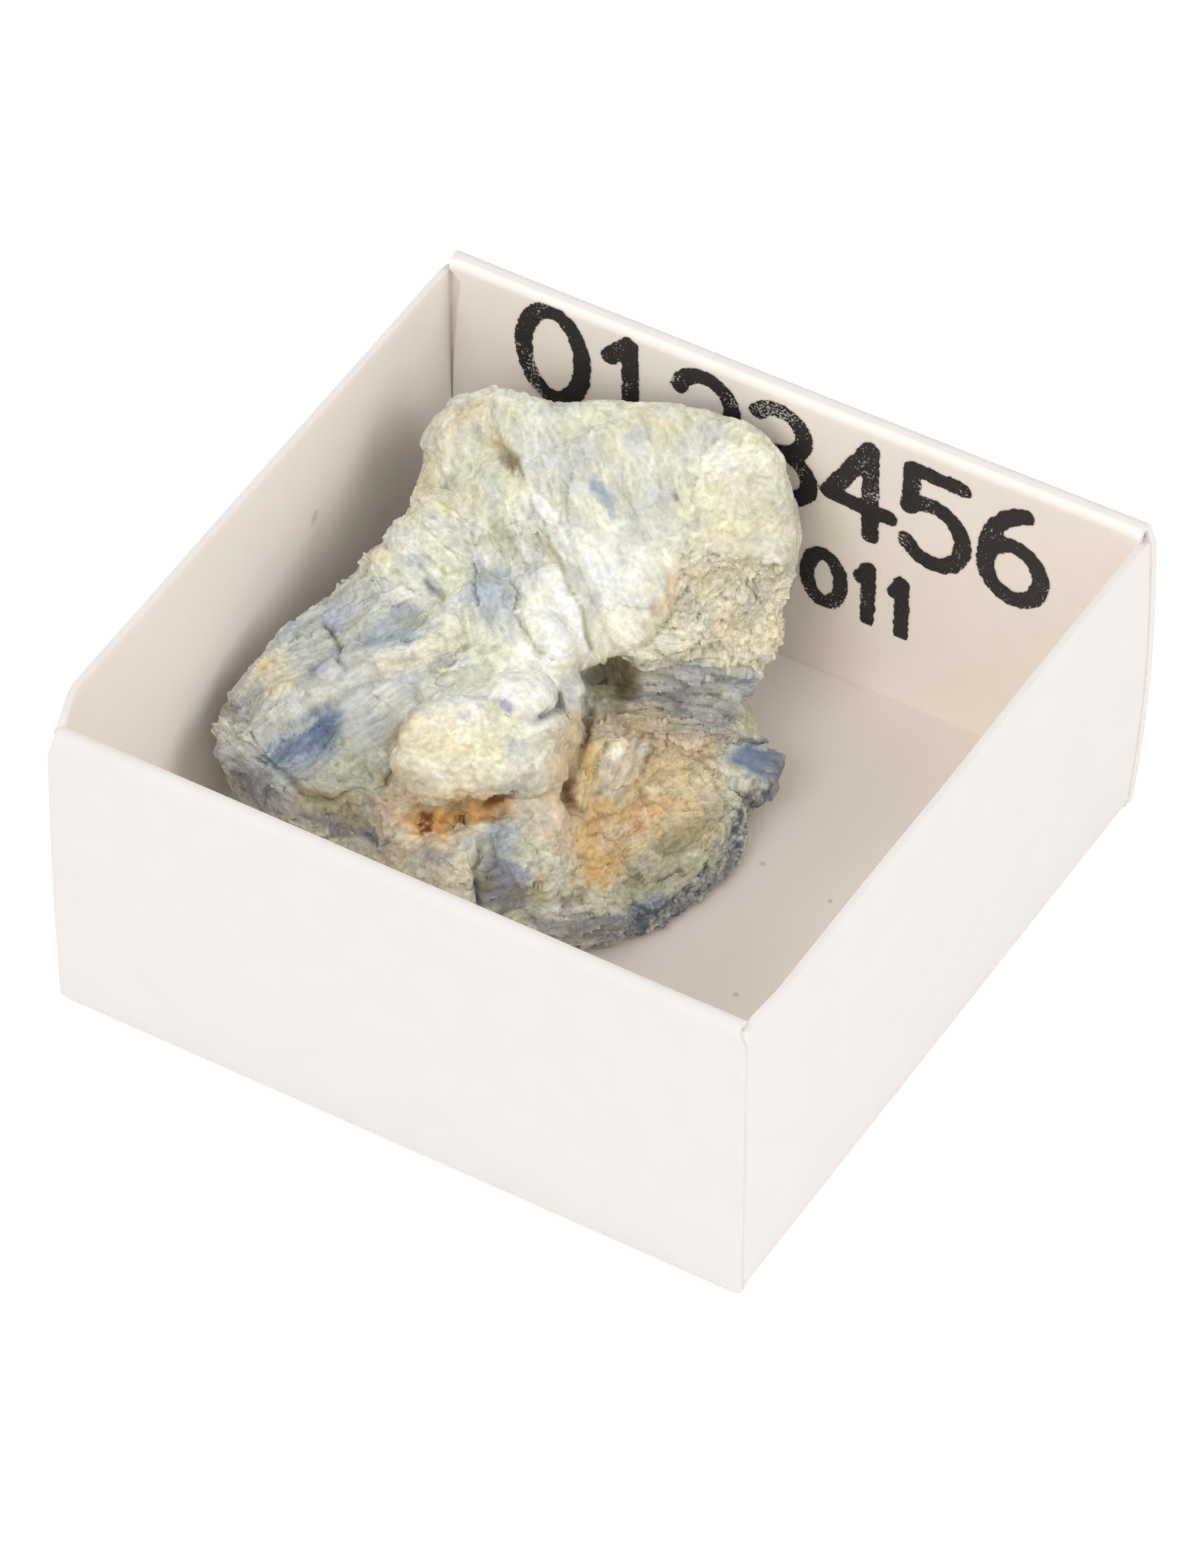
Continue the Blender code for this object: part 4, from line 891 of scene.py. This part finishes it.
# Patches of colour on the show face, each over the ones before it: colour, middle, half sizes, angle,
# softness of the border and strength.
patches = [
    # slab
    ("mint", (3.3, 13.1), (6.42, 5.91), -70, 0.35, 0.9),  # slab
    ("lichen", (2.1, 18.1), (7.7, 1.39), -3, 0.5, 0.8),  # top band
    ("peach", (2.9, 18.3), (1.23, 0.36), -5, 0.6, 0.5),  # tan on top
    ("mist", (-2.2, 18.8), (1.44, 0.36), 8, 0.5, 0.5),
    ("fog", (-1.9, 16.2), (1.75, 1.23), 30, 0.6, 0.6),
    ("lichen", (-2.3, 17.2), (1.03, 0.41), -60, 0.6, 0.7),
    ("steel", (0.2, 14.4), (1.23, 0.46), -60, 0.7, 0.8),  # blue patch
    ("denim", (-0.3, 15.0), (0.26, 0.21), 0, 0.8, 0.5),
    ("fog", (1.7, 17.1), (0.72, 0.31), 20, 0.7, 0.6),
    ("lichen", (1.7, 14.9), (1.23, 0.62), -60, 0.7, 0.6),
    ("fog", (5.3, 17.4), (1.54, 0.82), 0, 0.7, 0.5),
    ("chalk", (7.4, 15.9), (2.36, 0.77), 8, 0.5, 0.85),  # facet
    ("butter", (7.5, 13.5), (2.47, 2.36), 0, 0.5, 0.55),  # upper right lump
    ("cream", (5.9, 12.0), (1.13, 0.62), 10, 0.6, 0.9),
    ("cream", (8.7, 12.3), (0.82, 0.46), 20, 0.6, 0.7),
    ("peach", (10.1, 13.4), (0.26, 1.03), 0, 0.6, 0.5),
    ("fog", (3.1, 14.1), (0.82, 1.54), -15, 0.7, 0.35),
    ("chalk", (1.1, 10.3), (2.47, 1.95), -60, 0.6, 0.75),  # tongue
    # A grey patch of painted shade on the tongue.
    ("fog", (0.1, 9.4), (0.72, 0.56), 0, 0.6, 0.45),
    ("ivory", (0.8, 7.6), (1.44, 0.82), 10, 0.6, 0.6),
    ("chalk", (2.5, 8.5), (0.72, 1.13), -30, 0.6, 0.6),
    ("sand", (3.6, 9.2), (1.54, 0.41), 48, 0.6, 0.85),  # orange streak
    ("cream", (5.0, 10.3), (0.87, 0.46), 45, 0.5, 0.9),
    # A khaki patch of painted shadow under the orange streak.
    ("khaki", (2.8, 7.5), (0.77, 0.41), 50, 0.6, 0.8),
    ("butter", (3.7, 7.7), (1.03, 0.62), 30, 0.6, 0.7),
    # granular flank
    ("straw", (7.0, 8.4), (2.98, 3.18), 0, 0.3, 0.9),  # flank
    ("stone", (8.2, 8.9), (0.77, 0.56), 20, 0.6, 0.6),
    ("khaki", (4.7, 8.3), (0.62, 0.46), 60, 0.6, 0.6),
    ("beige", (6.7, 8.1), (0.46, 0.72), -30, 0.6, 0.6),
    ("straw", (6.6, 6.7), (1.64, 0.62), 10, 0.6, 0.7),
    ("khaki", (9.0, 10.6), (0.46, 0.72), 60, 0.6, 0.6),
    ("beige", (9.6, 8.0), (0.31, 1.23), 0, 0.6, 0.6),
    ("butter", (5.9, 9.8), (0.72, 0.51), 0, 0.6, 0.6),
    # white lobe
    ("chalk", (-2.7, 8.4), (2.9, 1.75), -62, 0.15, 0.95),  # white lobe
    ("snow", (-2.3, 7.4), (1.2, 1.0), -62, 0.5, 0.7),
    ("fog", (-3.5, 10.8), (0.67, 1.03), -20, 0.6, 0.6),
    ("snow", (-2.9, 13.6), (1.13, 0.46), -65, 0.35, 1.0),  # flake
    ("khaki", (-2.7, 12.0), (1.13, 0.36), -60, 0.6, 0.6),
    ("butter", (-3.0, 12.2), (0.46, 0.31), 0, 0.6, 0.5),
    # knob
    ("lichen", (-6.9, 14.8), (3.08, 2.67), -60, 0.4, 0.85),  # knob
    ("tan", (-7.2, 18.7), (1.64, 0.56), 25, 0.6, 0.85),  # tan edge
    ("tan", (-9.1, 15.9), (0.41, 1.85), 5, 0.6, 0.85),
    ("ivory", (-8.1, 15.3), (0.26, 1.64), -8, 0.5, 0.8),
    ("butter", (-7.9, 13.4), (1.03, 0.72), 0, 0.6, 0.6),
    ("sea", (-5.4, 14.9), (0.77, 0.46), -40, 0.6, 0.7),
    ("khaki", (-5.2, 16.7), (1.3, 0.5), -58, 0.6, 0.8),  # stained pit
    ("pitch", (-4.8, 16.3), (1.25, 0.4), -62, 0.6, 0.85),
    ("umber", (-4.5, 15.8), (0.7, 0.2), -64, 0.6, 0.5),
    ("sand", (-5.7, 17.6), (1.13, 0.31), -50, 0.6, 0.6),
    ("mint", (-4.9, 13.3), (1.54, 0.41), -60, 0.5, 0.7),
    ("sage", (-5.1, 12.4), (1.23, 0.31), -52, 0.6, 0.7),
    # saddle
    ("mint", (-8.5, 11.4), (2.57, 1.64), 20, 0.5, 0.7),  # saddle
    ("peach", (-11.6, 11.5), (0.67, 0.62), 0, 0.6, 0.6),
    ("fog", (-9.7, 10.7), (0.87, 0.51), 10, 0.6, 0.7),
    ("fog", (-5.3, 9.2), (1.54, 1.64), 20, 0.4, 0.85),
    ("mist", (-5.5, 9.6), (1.0, 1.2), 20, 0.6, 0.6),
    ("chalk", (-7.2, 9.7), (0.51, 0.92), -10, 0.6, 0.5),
    ("ivory", (-9.9, 8.9), (1.34, 0.46), 18, 0.6, 0.8),
    # left lobe
    ("fog", (-14.4, 3.9), (6.16, 4.62), 35, 0.3, 0.75),  # left lobe
    ("dove", (-14.0, 8.4), (2.57, 1.23), 32, 0.6, 0.6),
    ("mist", (-10.6, 7.3), (1.95, 0.87), 20, 0.4, 0.7),  # fan
    ("steel", (-10.4, 7.0), (1.13, 0.41), 25, 0.6, 0.6),
    ("dove", (-9.6, 8.2), (1.44, 0.26), -12, 0.6, 0.8),
    ("violet", (-14.2, 5.7), (0.77, 0.36), 35, 0.6, 0.8),  # violet smear
    ("violet", (-13.3, 8.0), (0.41, 0.72), 0, 0.7, 0.5),
    ("steel", (-15.9, 7.9), (1.64, 0.36), 50, 0.6, 0.6),
    ("butter", (-16.6, 5.0), (1.03, 1.18), 20, 0.5, 0.85),  # cream patch
    ("tan", (-17.1, 5.1), (0.36, 0.72), 0, 0.6, 0.5),
    ("mist", (-14.9, 4.8), (0.82, 0.56), 20, 0.6, 0.5),
    ("slate", (-18.6, 3.3), (0.41, 0.31), 0, 0.6, 0.8),
    ("dove", (-17.8, 3.7), (0.36, 0.67), 0, 0.6, 0.8),
    ("pearl", (-16.4, 2.4), (2.16, 0.87), 28, 0.4, 0.8),  # lower ledge
    ("pearl", (-12.2, 3.6), (2.57, 0.98), 30, 0.35, 0.9),  # ledge
    ("ivory", (-9.7, 6.2), (2.05, 0.67), 25, 0.4, 0.85),
    # A grey streak of painted shade in the dark gap beside the ledge.
    ("dove", (-8.4, 5.6), (0.67, 0.26), 42, 0.5, 0.8),
    ("steel", (-14.9, 1.4), (2.21, 1.08), 35, 0.4, 0.9),  # deep blue
    ("denim", (-15.1, 1.7), (1.54, 0.67), 38, 0.6, 0.85),
    ("navy", (-14.4, 2.3), (0.82, 0.41), 55, 0.6, 0.85),
    ("navy", (-16.3, 1.1), (0.67, 0.31), 38, 0.6, 0.7),
    ("mist", (-14.5, 0.5), (1.34, 0.51), 20, 0.5, 0.75),
    ("sage", (-12.6, 0.4), (1.54, 1.23), 10, 0.5, 0.7),
    ("olive", (-10.5, 1.9), (0.87, 0.56), 50, 0.5, 0.6),
    ("moss", (-10.9, -0.1), (0.67, 0.36), 50, 0.5, 0.75),
    ("sage", (-12.7, 0.1), (0.51, 0.41), 0, 0.5, 0.6),
    ("pearl", (-11.3, 1.0), (0.36, 0.77), -10, 0.5, 0.7),
    ("khaki", (-10.3, 0.6), (0.46, 1.13), 0, 0.5, 0.6),
    ("taupe", (-14.3, -1.4), (2.16, 1.08), -25, 0.5, 0.9),  # low olive
    ("olive", (-14.7, -1.1), (0.92, 0.46), 0, 0.6, 0.7),
    ("moss", (-13.2, -1.6), (0.72, 0.72), 0, 0.6, 0.7),
    ("ash", (-17.9, -0.4), (2.67, 1.03), -42, 0.4, 0.9),  # left side
    ("slate", (-18.0, -0.5), (1.13, 0.36), -48, 0.5, 0.85),
    ("stone", (-19.1, 0.3), (1.34, 0.26), -62, 0.5, 0.7),
    ("slate", (-13.1, -2.9), (3.18, 0.36), -25, 0.5, 0.8),
    ("slate", (-12.0, -2.8), (0.72, 0.56), 0, 0.6, 0.7),
    # cream lump
    ("cream", (-7.9, 0.8), (2.88, 2.26), 10, 0.25, 1.0),  # cream lump
    ("butter", (-9.0, 1.4), (1.03, 1.23), 0, 0.6, 0.5),
    ("ivory", (-6.7, 2.4), (1.34, 0.72), 10, 0.6, 0.7),
    ("mint", (-3.9, 1.5), (1.54, 1.28), 0, 0.35, 0.95),  # green-white part
    ("sea", (-4.4, 1.6), (0.41, 0.62), 0, 0.6, 0.4),
    # white knob
    ("snow", (-3.9, 5.1), (1.75, 1.95), 0, 0.35, 0.95),  # white knob
    ("ivory", (-3.6, 4.8), (0.67, 0.92), 0, 0.6, 0.8),
    ("violet", (-5.1, 3.9), (0.62, 0.36), -45, 0.5, 0.9),  # fleck
    ("mint", (-5.5, 5.8), (0.77, 1.03), 0, 0.6, 0.8),
    ("sage", (-3.4, 6.4), (0.41, 0.31), -30, 0.6, 0.7),
    ("fog", (-1.6, 4.4), (0.62, 0.87), 0, 0.5, 0.8),
    # cave and band
    ("stone", (4.9, 4.2), (4.21, 1.44), 2, 0.35, 0.95),  # band
    ("fog", (4.7, 5.3), (2.16, 0.31), 3, 0.6, 0.7),
    ("mist", (7.3, 4.8), (1.54, 0.51), 0, 0.6, 0.8),
    ("slate", (3.3, 3.9), (1.44, 0.41), -8, 0.5, 0.85),
    ("ash", (4.3, 2.6), (2.57, 0.51), -8, 0.5, 0.85),
    ("slate", (6.4, 3.3), (0.51, 0.46), 60, 0.6, 0.6),
    ("khaki", (7.5, 3.1), (0.82, 0.67), 0, 0.6, 0.7),
    ("khaki", (2.0, 2.4), (1.23, 0.41), -5, 0.6, 0.7),
    # The cave's darker moss, pitch and umber are partly dark crumbs and partly painted shade in the hollow.
    ("moss", (0.8, 5.0), (1.39, 1.13), 35, 0.35, 1.0),  # cave
    ("pitch", (0.8, 5.4), (0.92, 0.36), 30, 0.6, 0.85),
    ("umber", (1.2, 4.4), (0.62, 0.36), 30, 0.6, 0.6),
    ("ash", (-0.5, 5.3), (0.77, 0.46), 0, 0.6, 0.8),
    # right lobe
    ("sand", (1.8, -1.3), (4.72, 4.72), 0, 0.2, 0.85),  # right lobe
    ("tan", (-1.6, 1.2), (0.77, 2.16), -5, 0.5, 0.9),
    ("beige", (0.2, 2.5), (1.13, 0.62), 0, 0.6, 0.8),
    ("beige", (0.6, 0.2), (1.75, 1.18), 75, 0.4, 0.95),  # pale block
    ("chalk", (0.8, 1.2), (0.56, 0.36), 70, 0.5, 0.85),
    ("chalk", (2.0, 1.5), (0.46, 0.41), 0, 0.5, 0.85),
    ("gold", (-0.7, 0.6), (0.31, 1.44), -8, 0.6, 0.8),
    ("butter", (4.8, -0.2), (1.64, 0.77), 12, 0.5, 0.9),
    ("gold", (4.3, 0.1), (0.9, 0.4), 10, 0.7, 0.55),
    ("olive", (4.3, 0.6), (0.72, 0.26), 10, 0.6, 0.5),
    ("orange", (2.3, -1.9), (1.44, 0.46), 12, 0.6, 0.7),
    ("orange", (-0.7, -3.4), (0.6, 1.9), 12, 0.7, 0.6),
    ("orange", (0.4, -4.8), (1.1, 0.6), 35, 0.7, 0.6),
    ("rust", (-0.5, -4.6), (0.31, 0.26), 0, 0.7, 0.5),
    ("ochre", (-0.3, -1.9), (1.03, 0.46), 0, 0.6, 0.7),
    ("peach", (-1.9, -2.4), (0.87, 1.28), -10, 0.5, 0.85),
    ("peach", (1.8, -2.7), (1.03, 0.56), 10, 0.6, 0.8),
    ("sage", (2.9, -5.3), (2.57, 1.23), 25, 0.5, 0.9),
    ("olive", (4.2, -3.3), (1.64, 0.62), 42, 0.6, 0.7),
    ("olive", (2.1, -5.4), (0.82, 0.41), 0, 0.6, 0.6),
    ("ivory", (6.0, -2.9), (0.56, 0.15), 38, 0.6, 0.8),
    ("ivory", (4.6, -4.2), (0.56, 0.15), 38, 0.6, 0.7),
    ("khaki", (-2.8, -5.6), (0.62, 1.28), 0, 0.6, 0.8),
    ("taupe", (-1.3, -6.3), (0.77, 0.41), 0, 0.6, 0.7),
    ("sage", (5.8, -2.0), (0.72, 1.13), -35, 0.6, 0.6),
    ("steel", (2.3, -7.0), (2.57, 0.51), 13, 0.5, 0.8),  # low blue
    ("slate", (0.0, -7.4), (1.64, 0.36), 5, 0.5, 0.8),
    ("ash", (-2.3, -7.8), (1.03, 0.46), -20, 0.5, 0.8),
    ("denim", (8.5, 1.0), (1.5, 0.8), -18, 0.4, 1.0),  # blue tip
    ("navy", (8.3, 1.3), (0.62, 0.26), -25, 0.6, 0.6),
    # slate block and rust
    ("slate", (-5.0, -5.7), (1.54, 1.54), 0, 0.25, 0.95),  # slate block
    ("pitch", (-5.8, -5.8), (0.51, 0.82), 0, 0.6, 0.5),
    ("ash", (-4.0, -5.8), (0.56, 1.13), 0, 0.6, 0.7),
    ("mist", (-4.8, -3.1), (1.03, 1.03), 0, 0.5, 0.85),
    ("beige", (-3.2, -2.4), (0.72, 0.98), 0, 0.5, 0.8),
    ("sage", (-3.6, -3.5), (0.51, 0.62), 0, 0.6, 0.7),
    ("peach", (-10.7, -2.0), (1.34, 1.28), 0, 0.4, 0.9),  # lip
    ("peach", (-8.6, -3.5), (2.16, 0.62), 15, 0.4, 0.9),
    ("beige", (-7.4, -5.0), (1.23, 0.67), 12, 0.5, 0.85),
    ("ash", (-8.4, -4.0), (1.28, 0.26), 5, 0.5, 0.8),
    ("moss", (-8.7, -3.7), (0.21, 0.21), 0, 0.6, 0.8),
    ("sand", (-9.6, -2.0), (0.46, 0.87), 0, 0.6, 0.8),  # halo
    ("orange", (-7.3, -2.1), (2.8, 0.85), 12, 0.4, 0.95),  # rust hollow
    ("rust", (-7.3, -2.3), (2.5, 0.4), 12, 0.6, 0.6),
    ("taupe", (-7.4, -1.5), (1.44, 0.21), 6, 0.6, 0.6),
    ("ochre", (-6.8, -2.5), (1.03, 0.31), 12, 0.6, 0.8),
    ("burnt", (-9.0, -2.6), (0.46, 0.36), 0, 0.5, 1.0),
    ("burnt", (-5.1, -1.2), (0.67, 0.26), 25, 0.5, 0.95),
    ("burnt", (-5.6, -1.6), (0.31, 0.51), -20, 0.6, 0.8),
]

# Veins and stained cracks on the show face: colour, path, width and strength.
veins = [
    ("olive", [(-2.7, 12.1), (-2.1, 11.1), (-1.7, 9.8), (-0.8, 8.3), (-0.5, 6.5)], 0.16, 0.8),
    ("slate", [(-13.7, 7.7), (-13.6, 6.7), (-13.3, 6.0), (-13.0, 5.4)], 0.16, 0.7),
    ("ash", [(-9.0, 9.9), (-8.2, 9.4)], 0.18, 0.9),
    ("ash", [(-6.2, 11.3), (-6.0, 9.9)], 0.13, 0.7),
    ("ash", [(-3.3, 2.8), (-1.9, 3.6)], 0.2, 0.9),
    ("umber", [(-0.4, 3.1), (-0.8, 1.6), (-1.2, 0.0), (-1.7, -1.1), (-1.1, -1.9)], 0.22, 0.75),
    ("umber", [(-1.75, -0.7), (-1.6, -1.3)], 0.4, 0.95),
    ("moss", [(-9.7, 3.1), (-10.3, 2.2), (-11.0, 1.3), (-10.8, 0.3), (-11.1, -0.4)], 0.22, 0.7),
    ("ochre", [(0.9, -3.6), (1.6, -2.9), (2.9, -2.6)], 0.2, 0.5),
    ("burnt", [(3.9, 14.35), (3.95, 14.2)], 0.13, 0.7),
    ("dove", [(4.45, 16.1), (4.5, 16.0)], 0.2, 0.7),
    ("pitch", [(-19.0, 3.4), (-18.7, 3.2)], 0.2, 0.7),
]
# The edge of the right lobe: dark blue-grey fibres side by side.
rims = [
    ("slate", [(9.3, 0.4), (8.2, -1.3), (7.2, -3.1), (6.2, -5.2), (4.6, -6.8), (2.4, -8.0), (-0.6, -8.1)],
     0.9, 0.95),
    ("storm", [(7.2, -2.1), (6.8, -3.7), (5.6, -5.7), (4.0, -6.9), (2.0, -7.7)], 0.34, 0.95),
    ("storm", [(9.3, 0.5), (8.2, -1.8), (7.4, -3.6), (6.2, -5.6), (4.2, -7.3), (1.6, -8.6)], 0.34, 0.95),
    ("fog", [(8.7, 0.2), (7.5, -2.6), (6.5, -4.6), (5.1, -6.2), (3.2, -7.5)], 0.1, 0.7),
    ("pearl", [(7.7, -2.0), (7.5, -3.3), (6.6, -4.9)], 0.07, 0.6),
]


def linear(name):
    # A palette colour as the light it sends back.
    share = np.array(palette[name]) / 255
    return np.where(share < 0.04, share / 12.9, ((share + 0.055) / 1.055) ** 2.4)


def laid(tint, name, share):
    return tint + (linear(name) - tint) * share[:, None]


def paintStone(points, place, shown, fibres):
    # Everywhere: pale green-white clouded with blue-grey, and cream, ochre and dark patches in places.
    clouds = [layered(points, 4.5 - 0.5 * i, 201 + 9 * i, 3) for i in range(4)]
    tint = np.broadcast_to(linear("mint"), points.shape).copy()
    tint = laid(tint, "mist", smoothStep(clouds[0], -0.1, 0.5) * 0.9)
    tint = laid(tint, "cream", smoothStep(clouds[1], 0.1, 0.5) * 0.9)
    tint = laid(tint, "slate", smoothStep(clouds[2], 0.28, 0.6) * 0.7)
    tint = laid(tint, "ochre", smoothStep(clouds[3], 0.4, 0.7) * 0.6)
    # Crystals take a patch's colour whole, so borders jump from one crystal to the next.
    u, v = frayed(points)
    u = u + 0.3 * facets(place * 1.5, 700) + 0.16 * facets(place * 3.2, 720)
    v = v + 0.3 * facets(place * 1.5, 740) + 0.16 * facets(place * 3.2, 760)
    front = linear("mint") + tint * 0
    for name, centre, half, angle, soft, strength in patches:
        front = laid(front, name, spot(u, v, centre, half, angle, soft) * strength)
    for name, path, width, strength in rims:
        line = np.exp(-(nearPath(u, v, path) / width) ** 4)
        front = laid(front, name, np.clip(line * strength * (0.7 + 0.9 * fibres), 0, 1))
    exactU, exactV = onShowFace(points)
    for name, path, width, strength in veins:
        line = np.exp(-(nearPath(0.7 * exactU + 0.3 * u, 0.7 * exactV + 0.3 * v, path) / width) ** 2)
        front = laid(front, name, line * strength)
    tint = tint + (front - tint) * shown[:, None]
    # Fibres, crumbs and stains vary it a little everywhere.
    value = 0.97 + 0.10 * fibres + 0.14 * facets(place * 1.9, 780) + 0.13 * facets(place * 4.0, 800)
    warm = 0.06 * unevenness(points, 1.1, 303) + 0.03 * unevenness(points, 0.45, 304)
    return np.clip(tint * value[:, None] * (1 + warm[:, None] * (0.7, 0.3, -1.4)), 0.01, 0.9)


def stoneFinish():
    finish = Finish("kyanite")
    tint = finish.node("ShaderNodeAttribute", {"attribute_name": "tint"}, {}, "Color")
    grown = finish.node("ShaderNodeAttribute", {"attribute_name": "grown"}, {}, "Vector")
    whole = finish.node("ShaderNodeAttribute", {"attribute_name": "whole"}, {}, "Fac")
    blades = (finish.grainAlong(grown, (3.5, 4.5, 4.5), 6.0) - 0.5) * whole + 0.5
    crumbs = finish.noise((3.2, 3.2, 3.2), 5.0)
    # Crystals and crumbs darken the painted colour by different amounts.
    value = (blades * 0.6 + crumbs * 0.4).step(0.34, 0.62) * 0.34 + 0.72
    base = finish.mixed(1.0, tint, value, "MULTIPLY")
    relief = blades * 0.7 + crumbs * 0.3
    finish.set(baseColor=base, roughness=0.42 + crumbs * 0.3, normal=finish.bumped(relief, 0.6, 0.12))
    finish.set(subsurfaceWeight=0.25, subsurfaceScale=0.0005, subsurfaceRadius=(1.0, 0.9, 0.8))
    return finish


def makeStone():
    item = massMesh()
    mesh = item.data
    points, normals = pointsOf(mesh), normalsOf(mesh)
    u, v = frayed(points)
    shown = showShare(points, normals)
    place, rough, whole = inDomains(points, shown, u, v)
    fibres = unevenness(place * (0.8, 1.6, 1.6), 1.0, 90)
    fibres += 0.6 * unevenness(place * (1.4, 3.4, 3.4), 1.0, 91)
    relief = stoneRelief(points, place, rough) + shown * formRelief(u, v)
    points = keptInTray(points + normals * relief[:, None])
    putPoints(mesh, points)
    tint = mesh.color_attributes.new("tint", "FLOAT_COLOR", "POINT")
    colours = np.ones((len(points), 4), np.float32)
    colours[:, :3] = paintStone(points, place, shown, np.clip(fibres, -1, 1))
    tint.data.foreach_set("color", colours.ravel())
    grown = mesh.attributes.new("grown", "FLOAT_VECTOR", "POINT")
    grown.data.foreach_set("vector", place.astype(np.float32).ravel())
    mesh.attributes.new("whole", "FLOAT", "POINT").data.foreach_set("value", whole.astype(np.float32))
    print("stone faces", len(mesh.polygons))
    finished(item, stoneFinish(), 60)
    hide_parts("kyanite_stone")


makeStone()
print("stone grown")


# The studio: a white floor in a white room, with soft lamps on three sides. Each has the direction it stands
# in, its distance, size and power.
studio = {"room": 0.7, "floorSize": 900.0, "floorGlow": 0.14,
          "lights": [("left lamp", (-1.0, 0.0, 0.7), 500.0, 260.0, 0.46),
                     ("front lamp", (0.0, -1.0, 0.84), 500.0, 260.0, 0.70),
                     ("right lamp", (1.0, 0.0, 0.9), 500.0, 260.0, 0.80)]}


def addLight(name, away, distance, size, power):
    light = bpy.data.lights.new(name, "AREA")
    light.energy = power
    light.size = size * mm
    item = bpy.data.objects.new(name, light)
    bpy.context.scene.collection.objects.link(item)
    towards = Vector(away).normalized()
    item.location = towards * distance * mm
    item.rotation_euler = towards.to_track_quat("Z", "Y").to_euler()


def makeStudio():
    half = studio["floorSize"] / 2
    row = np.linspace(-half, half, 2)
    x, y = np.meshgrid(row, row, indexing="ij")
    floor = addObject("floor", gridMesh("floor", np.stack([x, y, np.full_like(x, -0.02)], axis=-1)))
    paint = Finish("pale floor")
    paint.set(baseColor=paint.colour(0.95, 0.95, 0.95), roughness=0.9)
    paint.set(emissionColor=paint.colour(1.0, 1.0, 1.0), emissionStrength=studio["floorGlow"])
    floor.data.materials.append(paint.material)
    world = bpy.data.worlds.new("white room")
    bpy.context.scene.world = world
    world.use_nodes = True
    world.node_tree.nodes["Background"].inputs["Color"].default_value = (1.0, 1.0, 1.0, 1.0)
    world.node_tree.nodes["Background"].inputs["Strength"].default_value = studio["room"]
    for light in studio["lights"]:
        addLight(*light)
    bpy.context.scene.view_settings.view_transform = "Standard"


makeStudio()
print("studio lit")
